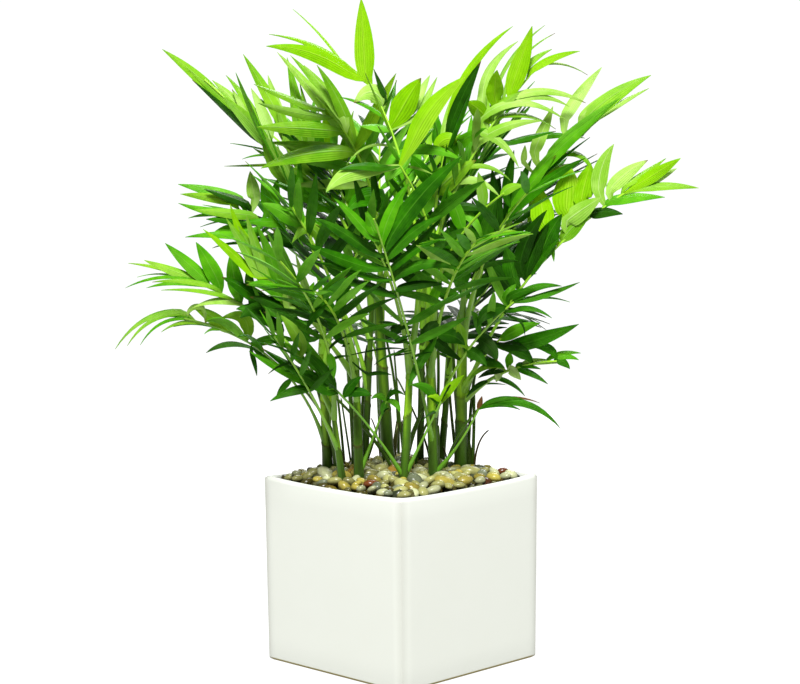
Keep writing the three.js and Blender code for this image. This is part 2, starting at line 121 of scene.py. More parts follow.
# leaflets placed one by one, by frond: where base and tip are seen, in pixels across and down the
# view, then width, arch as a share of length, and the turns toward the viewer and upward
# the tint is partly painted light and shade: lighter tints for leaflets in the light, darker ones for
# leaflets shaded by others
seenColumns = ("baseX", "baseY", "tipX", "tipY", "width", "arch", "toward", "tilt", "tint")
seenLeaves = {
    1: (
        (247, 341, 221, 318, 13, 0.42, 0, 10, "spring"),
        (231, 333, 192, 306, 13, 0.06, 5, 20, "spring"),
        (197, 315, 127, 346, 5, 0.18, 0, 40, "spring"),
        (198, 312, 115, 349, 7, 0.17, -5, 50, "spring"),
        (200, 321, 140, 345, 4, 0.2, 5, 50, "bright"),
        (203, 324, 161, 332, 5, 0.14, 5, 50, "spring"),
        (222, 330, 204, 334, 5, 0.2, 10, 60, "bright"),
        (192, 316, 158, 318, 7, 0.1, -10, 40, "bright"),
        (248, 346, 298, 341, 10, 0.1, 10, 40, "bright"),
        (250, 348, 257, 376, 5, 0.04, 10, 30, "green"),
        (292, 378, 276, 398, 7, 0.06, 10, 40, "green"),
        (210, 311, 185, 323, 6, 0.4, 5, 25, "pale"),
        (286, 372, 250, 346, 6, -0.03, 10, 20, "green"),
    ),
    2: (
        (211, 285, 165, 243, 12, 0, 0, 10, "bright"),
        (222, 290, 196, 242, 15, 0.02, 0, 5, "bright"),
        (241, 302, 231, 252, 15, -0.03, 10, 10, "bright"),
        (252, 306, 248, 264, 10, 0, 15, 20, "green"),
        (200, 281, 144, 260, 9, 0, 0, 20, "spring"),
        (192, 278, 128, 263, 5, 0.04, -10, 40, "spring"),
        (205, 283, 125, 288, 4, 0.11, 0, 50, "bright"),
        (190, 281, 137, 277, 3, 0.1, -10, 50, "bright"),
        (208, 287, 146, 288, 5, 0.08, 5, 40, "bright"),
        (238, 300, 161, 290, 6, 0.06, 10, 50, "spring"),
        (226, 291, 152, 282, 6, 0.07, 10, 50, "spring"),
        (262, 304, 222, 277, 12, 0.05, 20, 30, "green"),
        (270, 306, 240, 318, 12, 0.1, 30, 30, "dark"),
        (246, 305, 192, 308, 8, 0.12, 0, 30, "pale"),
        (262, 312, 236, 309, 10, 0.1, 10, 20, "green"),
        (286, 332, 246, 314, 11, 0.08, 10, 20, "dark"),
        (276, 316, 252, 286, 10, 0.02, 10, 10, "bright"),
        (284, 318, 258, 292, 14, 0.05, 10, 30, "dark"),
    ),
    3: (
        (270, 292, 230, 204, 11, -0.03, 0, 20, "lime"),
        (266, 288, 226, 218, 10, 0.02, 5, 20, "spring"),
        (262, 284, 203, 229, 9, 0.03, 0, 30, "lime"),
        (280, 300, 246, 214, 11, -0.03, 10, 10, "spring"),
        (284, 302, 256, 224, 12, 0.02, 15, 0, "bright"),
        (276, 300, 238, 226, 11, 0.02, 5, 10, "spring"),
        (284, 304, 246, 285, 11, 0.2, 20, 20, "bright"),
        (290, 313, 286, 282, 10, 0, 20, 25, "pale"),
        (296, 316, 268, 250, 13, 0.05, -10, 10, "bright"),
        (302, 320, 246, 281, 10, 0.12, 5, 25, "spring"),
        (296, 318, 250, 297, 13, 0.08, 10, 30, "dark"),
        (304, 328, 264, 312, 12, 0.1, 15, 30, "green"),
        (305, 318, 314, 282, 12, 0.04, 10, 10, "bright"),
        (312, 345, 288, 315, 9, 0.04, 15, 20, "dark"),
    ),
    4: (
        (252, 204, 178, 184, 13, 0.03, 0, 25, "bright"),
        (242, 204, 180, 194, 9, 0.02, 10, 10, "spring"),
        (256, 207, 204, 189, 10, 0.02, 10, 40, "dark"),
        (256, 213, 178, 203, 9, -0.05, 10, 10, "bright"),
        (262, 216, 195, 210, 10, 0, 15, 20, "spring"),
        (236, 214, 188, 218, 5, 0.06, 10, 50, "bright"),
        (254, 222, 206, 219, 10, 0.02, 20, 40, "green"),
        (290, 225, 243, 222, 10, 0.04, 20, 30, "bright"),
        (262, 239, 185, 237, 9, 0.05, 15, 40, "bright"),
        (256, 236, 213, 233, 11, 0.14, 10, 20, "bright"),
        (256, 244, 212, 248, 4, 0.08, 10, 50, "green"),
        (256, 204, 250, 171, 13, 0, -20, 25, "pale"),
        (274, 214, 278, 178, 11, 0.04, -20, 10, "bright"),
        (304, 246, 264, 236, 15, 0.06, 10, 30, "dark"),
        (268, 215, 262, 178, 10, 0.02, 10, 10, "bright"),
    ),
    5: (
        (230, 108, 162, 49, 11, 0.03, 0, 25, "spring"),
        (263, 148, 192, 80, 8, 0.01, 5, -40, "green"),
        (255, 130, 186, 68, 10, 0.03, 0, 20, "spring"),
        (268, 146, 212, 80, 13, 0.05, -10, 25, "pale"),
        (272, 150, 222, 96, 14, 0.04, 10, 30, "spring"),
        (262, 130, 226, 75, 9, 0.05, -15, 30, "spring"),
        (274, 140, 251, 88, 11, 0.02, -10, 25, "pale"),
        (290, 185, 262, 134, 19, 0, 15, 10, "spring"),
        (276, 152, 230, 143, 2.5, 0.02, -20, 60, "bright"),
        (278, 156, 242, 159, 3, 0.08, -10, 60, "bright"),
        (256, 131, 232, 89, 9, 0.02, -10, 25, "pale"),
    ),
    6: (
        (292, 140, 243, 54, 12, 0.01, -10, 15, "spring"),
        (291, 152, 268, 75, 13, 0, -20, 25, "pale"),
        (314, 178, 287, 57, 13, 0, -10, 20, "spring"),
        (322, 190, 300, 83, 13, 0.02, 0, 40, "spring"),
        (306, 180, 276, 104, 14, 0, 0, 0, "spring"),
        (312, 182, 290, 100, 14, 0.02, 5, 20, "spring"),
        (318, 186, 306, 104, 13, 0, 0, 10, "spring"),
        (320, 196, 318, 110, 12, 0, 10, -10, "bright"),
        (302, 163, 224, 166, 4, 0, 0, 50, "spring"),
        (318, 212, 315, 168, 9, 0, 10, 0, "spring"),
        (326, 214, 288, 178, 14, 0.04, 20, 10, "bright"),
    ),
    7: (
        (383, 174, 342, 126, 12, 0.02, 10, 25, "pale"),
        (376, 170, 352, 132, 9, 0, 15, 10, "bright"),
        (325, 112, 254, 84, 9, 0, 40, 50, "spring"),
        (332, 118, 258, 103, 9, -0.02, 45, 20, "spring"),
        (346, 132, 257, 127, 15, 0.01, 50, 20, "spring"),
        (360, 152, 261, 168, 17, 0.05, 42, 20, "spring"),
        (362, 156, 277, 52, 12, 0.02, -10, 25, "pale"),
        (370, 164, 290, 55, 12, 0.04, -20, 30, "spring"),
        (352, 130, 304, 65, 13, 0.03, -10, 25, "pale"),
        (356, 148, 317, 65, 13, 0.05, 10, 25, "spring"),
    ),
    8: (
        (366, 87, 361, -2, 18, 0, 0, 0, "lime"),
        (365, 83, 269, 34, 8, 0.1, 0, 45, "lime"),
        (363, 84, 266, 46, 15, 0.1, 10, 30, "lime"),
        (352, 78, 293, 9, 5, 0.05, -15, 60, "lime"),
        (356, 80, 300, 42, 8, 0.04, -15, 25, "pale"),
        (386, 108, 354, 103, 18, 0.4, 20, 25, "pale"),
        (388, 102, 374, 69, 9, 0.02, 0, 50, "dark"),
        (393, 125, 421, 78, 22, 0.02, 10, 10, "lime"),
        (408, 118, 430, 75, 10, 0.02, -20, 25, "pale"),
        (416, 122, 437, 77, 8, 0.02, -20, 25, "pale"),
        (392, 130, 360, 126, 12, 0.05, 10, 50, "bright"),
        (390, 122, 340, 97, 6, 0.08, 10, 60, "bright"),
        (400, 152, 462, 160, 10, 0.1, 25, 20, "bright"),
        (408, 150, 386, 182, 20, 0.05, 30, 20, "bright"),
        (403, 166, 434, 175, 2.5, 0.05, 30, 20, "pale"),
        (397, 148, 346, 166, 2.5, 0.18, 30, 30, "pale"),
    ),
    9: (
        (378, 238, 365, 212, 9, 0.02, 10, 10, "bright"),
        (381, 271, 306, 243, 11, -0.03, 20, 15, "green"),
        (378, 259, 313, 217, 10, 0.04, 15, 15, "green"),
        (376, 244, 334, 198, 9, 0.03, 10, 15, "bright"),
        (374, 236, 367, 211, 9, 0, 0, 10, "bright"),
        (380, 247, 409, 183, 11, 0.06, 0, 5, "bright"),
        (381, 254, 462, 156, 17, 0.05, 5, 5, "green"),
        (383, 263, 441, 215, 11, 0.06, 10, 15, "green"),
        (385, 276, 440, 240, 8, 0.08, 15, 30, "green"),
        (388, 284, 459, 270, 10, 0.17, 20, 30, "green"),
        (385, 282, 322, 259, 8, 0.02, 20, 40, "green"),
        (393, 297, 334, 282, 11, 0.08, 20, 40, "dark"),
        (390, 291, 444, 284, 10, 0.06, 10, 40, "dark"),
        (392, 357, 408, 348, 3, 0.05, 10, 30, "dark"),
        (391, 344, 412, 335, 4, 0.06, 10, 30, "dark"),
        (400, 345, 364, 340, 3, 0.08, 10, 50, "green"),
        (405, 352, 374, 365, 3, 0.1, 10, 50, "dark"),
        (408, 360, 432, 352, 3, 0.08, 10, 40, "dark"),
    ),
    10: (
        (408, 155, 466, 76, 18, 0.09, 5, 5, "lime"),
        (378, 172, 326, 192, 15, 0.14, 35, 20, "pale"),
        (390, 170, 338, 170, 9, 0.08, 25, 30, "green"),
        (433, 295, 461, 297, 10, 0.15, 20, 30, "green"),
    ),
    11: (
        (488, 128, 518, 41, 11, 0.2, -10, 25, "pale"),
        (488, 128, 545, 25, 5, 0.12, -10, 60, "spring"),
        (500, 107, 555, 33, 5, 0.13, -15, 60, "spring"),
        (508, 98, 532, 26, 18, 0, 5, 10, "lime"),
        (516, 80, 552, 49, 9, 0.1, -10, 50, "spring"),
        (524, 76, 580, 51, 8, 0.08, 5, 35, "lime"),
        (512, 83, 588, 75, 3, 0.2, -10, 30, "pale"),
        (497, 104, 586, 103, 8, 0.14, -5, 30, "pale"),
        (496, 108, 526, 105, 12, 0.1, 20, 30, "bright"),
        (466, 133, 566, 120, 9, 0.24, 5, 30, "pale"),
        (466, 152, 542, 121, 10, 0.11, 5, 30, "pale"),
        (463, 128, 519, 168, 8, 0.15, 10, 30, "pale"),
        (486, 118, 467, 102, 15, 0.05, 40, 10, "lime"),
        (496, 106, 497, 70, 16, 0.04, 30, 10, "lime"),
        (492, 118, 556, 129, 8, 0.14, 0, 45, "spring"),
        (500, 146, 556, 131, 8, 0.03, 5, 40, "green"),
        (453, 174, 511, 181, 5, 0.2, 10, 30, "spring"),
        (488, 118, 520, 92, 11, 0.03, 10, 30, "spring"),
        (505, 107, 570, 107, 6, 0.16, -5, 30, "pale"),
    ),
    12: (
        (557, 130, 602, 67, 12, 0.03, -10, 25, "pale"),
        (577, 122, 599, 97, 8, 0, -10, 25, "pale"),
        (578, 126, 651, 75, 17, 0.06, 5, 25, "spring"),
        (588, 124, 649, 88, 9, 0.03, 10, 60, "pale"),
        (530, 161, 553, 106, 12, 0, -5, 10, "pale"),
        (542, 162, 598, 187, 8, 0.36, 10, 50, "spring"),
        (503, 219, 585, 158, 13, 0.05, 15, 40, "green"),
        (522, 188, 604, 112, 13, 0.03, 15, 40, "bright"),
        (540, 165, 620, 98, 12, 0.02, 10, -30, "bright"),
        (505, 205, 514, 150, 10, 0.02, 15, 10, "green"),
        (480, 262, 497, 196, 14, 0.02, 5, 5, "green"),
        (462, 300, 450, 218, 14, 0.02, 5, 10, "green"),
        (527, 181, 577, 163, 9, 0.04, 10, 30, "spring"),
        (486, 262, 470, 226, 11, 0.02, 10, 10, "green"),
        (472, 300, 498, 268, 11, 0.06, 10, 20, "dark"),
        (523, 165, 525, 145, 6, 0, 0, 10, "pale"),
        (498, 238, 492, 168, 13, 0.02, 0, 10, "dark"),
        (489, 252, 478, 188, 13, 0.04, 0, 10, "green"),
        (511, 212, 532, 158, 9, 0.02, -5, 10, "green"),
        (507, 217, 556, 155, 11, 0.02, 12, 10, "bright"),
        (527, 190, 590, 137, 6, 0.03, 12, 60, "green"),
    ),
    13: (
        (599, 200, 614, 144, 15, 0.1, 0, 10, "pale"),
        (566, 216, 571, 167, 27, 0.02, -5, 0, "lime"),
        (580, 206, 591, 163, 19, 0.02, -10, 10, "lime"),
        (544, 230, 540, 187, 22, 0, -10, 0, "lime"),
        (605, 195, 648, 160, 14, 0.06, -5, 20, "pale"),
        (618, 190, 666, 158, 9, 0, -10, 50, "spring"),
        (632, 188, 681, 158, 12, 0, 5, 30, "lime"),
        (640, 186, 677, 168, 9, 0, -10, 25, "pale"),
        (628, 190, 699, 188, 9, 0.05, 5, 40, "spring"),
        (600, 203, 665, 197, 12, 0.05, 15, 35, "bright"),
        (584, 216, 623, 214, 11, 0.08, 20, 30, "dark"),
        (518, 276, 547, 210, 14, 0.08, 20, 10, "dark"),
        (538, 265, 562, 214, 20, 0.05, 20, 10, "green"),
        (560, 226, 602, 197, 18, 0.02, 20, 25, "pale"),
        (552, 242, 554, 262, 4, 0, 10, 0, "bright"),
        (511, 291, 474, 254, 17, 0.05, 20, 10, "dark"),
        (515, 287, 505, 246, 17, 0.03, 15, 10, "green"),
        (525, 280, 549, 224, 15, 0.06, 15, 15, "dark"),
        (560, 243, 592, 212, 15, 0.06, 15, 20, "spring"),
        (529, 278, 560, 238, 8, 0.05, 20, 45, "green"),
    ),
    14: (
        (515, 303, 580, 282, 6, -0.02, 0, 20, "green"),
        (511, 303, 562, 286, 8, 0.14, 5, 30, "green"),
        (515, 305, 570, 302, 3, 0.11, -10, 50, "bright"),
        (504, 314, 552, 318, 6, 0.17, 10, 40, "green"),
        (504, 301, 536, 290, 8, 0.1, 10, 20, "green"),
        (506, 308, 477, 327, 14, 0.2, 20, 20, "green"),
        (503, 300, 516, 284, 9, 0, -20, 30, "bright"),
        (463, 345, 458, 322, 11, 0.04, 20, 20, "spring"),
        (461, 350, 487, 366, 12, 0.14, 20, 20, "green"),
        (449, 353, 427, 339, 11, 0.1, 20, 20, "dark"),
        (480, 340, 497, 361, 13, 0.1, 20, 10, "dark"),
        (475, 341, 489, 343, 4, 0.1, 10, 30, "dark"),
        (506, 316, 525, 336, 3, 0.25, 10, 30, "dark"),
    ),
    15: (
        (500, 341, 540, 323, 12, 0.08, 0, 15, "bright"),
        (498, 349, 579, 324, 14, -0.03, 10, 10, "green"),
        (498, 342, 470, 362, 13, 0.1, 30, 30, "dark"),
        (494, 345, 474, 336, 10, 0.1, 30, 30, "dark"),
        (500, 346, 530, 352, 10, 0.12, 20, 40, "dark"),
        (478, 362, 505, 368, 9, 0.1, 20, 30, "green"),
    ),
    16: (
        (545, 360, 581, 353, 6, 0.1, 0, 40, "bright"),
        (554, 358, 579, 360, 6, 0.12, 0, 30, "bright"),
        (554, 358, 570, 369, 8, 0.1, 10, 20, "green"),
        (558, 357, 528, 347, 9, 0.18, 10, 20, "green"),
        (532, 360, 503, 350, 11, 0.12, 20, 20, "green"),
        (512, 367, 548, 384, 7, 0.07, 15, 30, "green"),
        (514, 364, 541, 369, 6, 0.05, 20, 30, "green"),
        (520, 362, 560, 363, 7, 0.04, 10, 30, "pale"),
        (490, 377, 525, 396, 5, 0.12, 15, 30, "green"),
        (507, 366, 521, 380, 10, 0.06, 20, 150, "pale"),
        (498, 368, 496, 382, 10, 0, 20, 150, "pale"),
        (508, 366, 510, 352, 8, 0, 10, 20, "bright"),
        (470, 386, 507, 385, 2, 0.06, 0, 40, "green"),
        (505, 370, 478, 378, 7, 0.1, 20, 40, "dark"),
        (490, 380, 466, 398, 5, 0.1, 20, 30, "green"),
        (500, 372, 470, 352, 9, 0.1, 20, 30, "dark"),
        (505, 366, 468, 382, 6, 0.18, 15, 30, "spring"),
    ),
    17: (
        (480, 407, 561, 429, 7, 0.18, 5, 20, "green"),
        (480, 406, 540, 403, 3, 0.12, 0, 40, "dry"),
        (481, 408, 521, 410, 5, 0.12, 10, 40, "green"),
        (478, 410, 482, 396, 5, 0, 0, 10, "dry"),
        (480, 406, 523, 399, 5, 0.1, 3, 40, "green"),
    ),
    18: (
        (436, 403, 410, 385, 9, 0.2, 20, 20, "green"),
        (440, 402, 464, 375, 9, 0.05, 20, 20, "lime"),
        (441, 403, 427, 397, 6, 0.25, 20, 30, "lime"),
    ),
    19: (
        (386, 401, 371, 399, 6, 0.3, 20, 20, "bright"),
        (387, 400, 400, 413, 6, 0.2, 20, 20, "bright"),
        (386, 401, 382, 416, 6, 0.05, 20, 10, "green"),
        (387, 399, 405, 395, 5, 0.3, 20, 20, "green"),
    ),
    20: (
        (343, 398, 362, 376, 11, 0.1, 10, 40, "green"),
        (346, 394, 372, 396, 10, 0.14, 20, 40, "green"),
        (319, 387, 270, 401, 10, 0.08, 10, 40, "green"),
        (334, 397, 284, 366, 12, 0.05, 20, 30, "green"),
        (335, 393, 262, 348, 13, 0, 0, 40, "green"),
        (331, 391, 249, 351, 10, -0.02, 10, 30, "bright"),
        (336, 389, 306, 352, 12, 0.03, 20, 10, "green"),
        (326, 380, 284, 371, 7, 0.06, 15, 20, "green"),
        (290, 350, 262, 340, 3, 0.1, 10, 40, "green"),
        (306, 352, 281, 315, 12, 0.05, 10, 20, "spring"),
        (306, 366, 282, 342, 9, 0.05, 10, 20, "bright"),
    ),
    21: (
        (404, 330, 378, 322, 4, 0.1, 10, 40, "dark"),
        (387, 332, 410, 327, 7, 0.1, 10, 30, "dark"),
    ),
    22: (
        (342, 325, 332, 326, 3, 0.05, 10, 40, "dark"),
        (390, 200, 346, 213, 22, 0.2, 30, 30, "green"),
    ),
    23: (
        (296, 362, 268, 374, 2.5, 0.1, 10, 40, "dark"),
    ),
    24: (
        (463, 232, 446, 188, 13, 0.03, 10, 10, "bright"),
        (464, 290, 462, 238, 12, 0.02, 10, 5, "green"),
        (484, 208, 478, 172, 10, 0.03, 10, 10, "spring"),
        (500, 196, 524, 186, 9, 0.15, 15, 30, "spring"),
        (455, 285, 447, 225, 12, 0.02, 10, 5, "green"),
    ),
    26: (
        (300, 226, 262, 203, 13, 0.05, 20, 10, "bright"),
        (300, 232, 290, 190, 13, 0.03, 10, 10, "bright"),
        (322, 246, 292, 243, 12, 0.5, 30, 10, "spring"),
        (284, 216, 252, 175, 5, 0.1, -10, 50, "bright"),
    ),
    32: (
        (493, 244, 500, 176, 15, 0.02, 0, 10, "dark"),
        (480, 262, 472, 200, 14, 0.05, 0, 10, "dark"),
        (505, 228, 520, 182, 13, 0.03, 0, 10, "green"),
    ),
    35: (
        (436, 352, 452, 360, 3, 0.05, 10, 30, "dark"),
    ),
    36: (
        (338, 316, 350, 279, 10, 0.04, 10, 10, "green"),
        (326, 303, 306, 330, 9, 0.08, 10, 30, "green"),
        (336, 330, 320, 290, 13, 0.04, 10, 10, "green"),
        (330, 318, 300, 296, 11, 0.06, 20, 20, "dark"),
        (342, 345, 324, 318, 8, 0.05, 10, 20, "green"),
        (336, 325, 356, 320, 4, 0.1, 10, 40, "dark"),
        (341, 347, 350, 343, 3, 0.05, 10, 40, "dark"),
        (369, 351, 406, 349, 3, 0.06, 10, 50, "dark"),
        (364, 376, 392, 375, 4, 0.1, 10, 40, "dark"),
    ),
    37: (
        (436, 342, 408, 388, 9, 0.06, 20, 20, "green"),
        (438, 335, 465, 345, 14, 0.14, 20, 20, "green"),
        (440, 322, 420, 342, 10, 0.12, 20, 20, "dark"),
        (437, 322, 456, 316, 4, 0.1, 10, 30, "dark"),
        (430, 306, 442, 280, 9, 0.02, 10, 10, "bright"),
        (437, 297, 456, 296, 4, 0.05, 10, 30, "dark"),
    ),
    39: (
        (328, 352, 334, 379, 8, 0.06, 20, 10, "bright"),
        (328, 350, 348, 336, 3, 0.1, 10, 40, "dark"),
        (327, 362, 350, 356, 3, 0.1, 10, 40, "dark"),
        (331, 376, 284, 316, 9, -0.02, 5, 10, "bright"),
    ),
    40: (
        (507, 145, 585, 138, 8, 0.08, 10, 40, "bright"),
    ),
    41: (
        (428, 287, 398, 275, 13, 0.05, -5, 10, "dark"),
        (431, 268, 403, 244, 14, 0.05, -5, 10, "dark"),
        (432, 258, 417, 226, 12, 0.05, -5, 10, "dark"),
    ),
    42: (
        (522, 243, 507, 213, 11, -0.1, 5, 15, "spring"),
        (534, 236, 531, 196, 10, 0, -10, 10, "spring"),
    ),
    43: (
        (446, 140, 481, 61, 13, 0.03, 5, 20, "dark"),
        (447, 140, 513, 26, 9, 0.12, -5, 15, "lime"),
        (430, 200, 476, 160, 19, 0.06, 10, 10, "spring"),
        (440, 150, 464, 72, 8, 0.03, -20, 25, "pale"),
        (436, 190, 404, 152, 15, 0.06, 10, 30, "green"),
        (440, 165, 486, 128, 13, 0.08, 10, 20, "bright"),
        (440, 208, 483, 243, 10, 0.22, 20, 20, "bright"),
        (440, 206, 488, 211, 12, 0.06, 20, 40, "dark"),
        (446, 186, 500, 197, 8, 0.2, 20, 25, "pale"),
        (436, 196, 412, 222, 14, 0.06, 20, 10, "bright"),
        (434, 152, 464, 147, 14, 0.35, 10, 20, "lime"),
        (441, 216, 420, 237, 10, 0.05, 10, 10, "green"),
        (436, 196, 452, 166, 5, 0.3, 30, 20, "bright"),
    ),
}
fronds = [dict(zip(frondColumns, row)) for row in frondRows]
upward = np.array([0.0, 0.0, 1.0])
cosTurn, sinTurn = math.cos(plant["turn"]), math.sin(plant["turn"])
plantTurn = np.array([[cosTurn, -sinTurn, 0], [sinTurn, cosTurn, 0], [0, 0, 1]])


# the middle of a stem at a height above the ground
def stemPoint(name, up):
    spec = stems[name]
    up = np.asarray(up, float)[..., None]
    foot, crown = np.array(spec["foot"], float), np.array(spec["crown"], float)
    flat = foot + (crown - foot) * (up / spec["tall"])
    return np.concatenate([flat, plant["ground"] + up], axis=-1)


def unit(rows):
    return rows / np.linalg.norm(rows, axis=-1, keepdims=True)


# stalk of a frond: places, directions and the two cross directions of its leaf plane
def stalkFrame(frond, t):
    t = np.asarray(t, float)[..., None]
    heading = math.radians(frond["heading"])
    length = math.hypot(frond["reach"], frond["rise"])
    out = np.array([math.cos(heading), math.sin(heading), 0.0])
    side = np.array([-math.sin(heading), math.cos(heading), 0.0])
    crest = (upward * frond["reach"] - out * frond["rise"]) / length
    lean = crest * frond["bow"] + side * frond["sway"]
    run = out * frond["reach"] + upward * frond["rise"]
    place = stemPoint(frond["stem"], frond["up"]) + run * t + lean * 4 * t * (1 - t)
    along = unit(run + lean * 4 * (1 - 2 * np.minimum(t, 1)))
    across = unit(side - along * (along @ side)[..., None])
    above = np.cross(along, across)
    above = np.where((above @ crest)[..., None] < 0, -above, above)
    roll = math.radians(frond["roll"])
    turned = across * math.cos(roll) + above * math.sin(roll)
    upright = above * math.cos(roll) - across * math.sin(roll)
    return place, along, turned, upright


# makes an object of its data and puts it in the scene
def linkPiece(name, data):
    piece = bpy.data.objects.new(name, data)
    bpy.context.scene.collection.objects.link(piece)
    return piece


# the camera looks along a diagonal of the pot, a little down; wide and high are in pixels
camera = {"distance": 1.971, "height": 0.511, "aside": 0.0002, "pitch": 6.27, "tilt": -0.48,
          "lens": 97.63, "film": 36, "near": 0.05, "far": 60, "wide": 800, "high": 684}
cameraPlace = (camera["aside"], -camera["distance"], camera["height"])
cameraPitch = Matrix.Rotation(math.radians(90 - camera["pitch"]), 4, "X")
cameraTilt = Matrix.Rotation(math.radians(camera["tilt"]), 4, "Z")


def makeCamera():
    data = bpy.data.cameras.new("camera")
    data.lens, data.sensor_width = camera["lens"], camera["film"]
    data.clip_start, data.clip_end = camera["near"], camera["far"]
    eye = linkPiece("camera", data)
    place = Matrix.Rotation(plant["turn"], 4, "Z") @ Matrix.Translation(cameraPlace)
    eye.matrix_world = place @ cameraPitch @ cameraTilt
    bpy.context.scene.camera = eye


makeCamera()
print("camera placed")
viewTurn = (cameraPitch @ cameraTilt).to_3x3()
viewEye = np.array(cameraPlace) / plant["unit"]
viewFocal = camera["lens"] / camera["film"] * camera["wide"]
viewMiddle = (camera["wide"] / 2, camera["high"] / 2)


# where a pixel, across and down, lies at a given depth in the plant's own square
def placeSeen(across, down, deep):
    aim = Vector(((across - viewMiddle[0]) / viewFocal, (viewMiddle[1] - down) / viewFocal, -1))
    ray = np.array(viewTurn @ aim)
    return viewEye + ray * ((deep - viewEye[1]) / ray[1])


# the pixels at which points of the plant are seen
def pixelPlace(points):
    local = (points - viewEye) @ np.array(viewTurn)
    return np.stack([viewMiddle[0] - viewFocal * local[:, 0] / local[:, 2],
                     viewMiddle[1] + viewFocal * local[:, 1] / local[:, 2]], axis=1)


def templateArrays(bm):
    verts = np.array([v.co[:] for v in bm.verts])
    faces = [[v.index for v in f.verts] for f in bm.faces]
    bm.free()
    return {"verts": verts, "faces": faces}


# a leaf template holds shares across, along and through a thin blade, from -1 to 1
def leafTemplate(columnsAcross, rowsAlong):
    bm = bmesh.new()
    bmesh.ops.create_grid(bm, x_segments=columnsAcross, y_segments=rowsAlong, size=1)
    bmesh.ops.solidify(bm, geom=bm.faces[:], thickness=1)
    bmesh.ops.recalc_face_normals(bm, faces=bm.faces[:])
    return templateArrays(bm)


# a rod template is one across its radius and one long
def rodTemplate(sides, steps):
    bm = bmesh.new()
    bmesh.ops.create_cone(bm, cap_ends=True, segments=sides, radius1=1, radius2=1, depth=1)
    lengthwise = [e for e in bm.edges if e.verts[0].co.z * e.verts[1].co.z < 0]
    bmesh.ops.subdivide_edges(bm, edges=lengthwise, cuts=steps - 1, use_grid_fill=True)
    bmesh.ops.recalc_face_normals(bm, faces=bm.faces[:])
    return templateArrays(bm)


# joins copies of one template into a mesh: places and values come as one array per copy
def copiesObject(name, template, places, values, uvs=None, smoothAngle=50):
    count = len(template["verts"])
    verts = np.concatenate(places) @ plantTurn.T * plant["unit"]
    faces = [[i + k * count for i in f] for k in range(len(places)) for f in template["faces"]]
    mesh = bpy.data.meshes.new(name)
    mesh.from_pydata(verts.tolist(), [], faces)
    for label, parts in values.items():
        layer = mesh.attributes.new(label, "FLOAT", "POINT")
        layer.data.foreach_set("value", np.concatenate(parts).astype(np.float32))
    if uvs is not None:
        corners = np.zeros(len(mesh.loops), np.int32)
        mesh.loops.foreach_get("vertex_index", corners)
        layer = mesh.uv_layers.new(name="shape")
        layer.data.foreach_set("uv", np.concatenate(uvs)[corners].astype(np.float32).ravel())
    mesh.shade_smooth()
    mesh.set_sharp_from_angle(angle=math.radians(smoothAngle))
    return linkPiece(name, mesh)


def bmeshObject(name, bm):
    mesh = bpy.data.meshes.new(name)
    bm.to_mesh(mesh)
    bm.free()
    return linkPiece(name, mesh)


def newMaterial(name):
    material = bpy.data.materials.new(name)
    material.use_nodes = True
    tree = material.node_tree
    return material, tree, tree.nodes["Principled BSDF"]


def groupTree(name, inputs, outputs):
    tree = bpy.data.node_groups.new(name, "ShaderNodeTree")
    for label, kind in inputs:
        tree.interface.new_socket(label, in_out="INPUT", socket_type=kind)
    for label, kind in outputs:
        tree.interface.new_socket(label, in_out="OUTPUT", socket_type=kind)
    return tree, tree.nodes.new("NodeGroupInput"), tree.nodes.new("NodeGroupOutput")


# a number or colour becomes the socket's own value, and an output is linked to it
def setSocket(tree, slot, value):
    if isinstance(value, (int, float)):
        slot.default_value = value
    elif isinstance(value, tuple):
        slot.default_value = (*value, 1)
    else:
        tree.links.new(value, slot)


def mathNode(tree, operation, *values, clamp=False):
    node = tree.nodes.new("ShaderNodeMath")
    node.operation = operation
    node.use_clamp = clamp
    for slot, value in zip(node.inputs, values):
        setSocket(tree, slot, value)
    return node.outputs[0]


# the Mix node has its colours on sockets 6 and 7, and puts the mixed one out on socket 2
def mixColour(tree, share, first, second):
    node = tree.nodes.new("ShaderNodeMix")
    node.data_type = "RGBA"
    for place, value in ((0, share), (6, first), (7, second)):
        setSocket(tree, node.inputs[place], value)
    return node.outputs[2]


# lays a colour over another where a mask is strong, up to a share
def wash(tree, colour, over, mask, share):
    return mixColour(tree, mathNode(tree, "MULTIPLY", mask, share), colour, over)


def attributeValue(tree, name):
    node = tree.nodes.new("ShaderNodeAttribute")
    node.attribute_name = name
    return node.outputs["Fac"]


# rises from 0 to 1 between low and high, and falls where low is the larger
def rampValue(tree, value, low, high):
    node = tree.nodes.new("ShaderNodeMapRange")
    node.inputs["From Min"].default_value = low
    node.inputs["From Max"].default_value = high
    tree.links.new(value, node.inputs["Value"])
    return node.outputs[0]


# veins run the length of a leaflet beside its midrib, and power makes them narrow
veinLines = {"waves": 52.0, "power": 3.0, "midrib": (0.045, 0.01), "relief": 0.5}


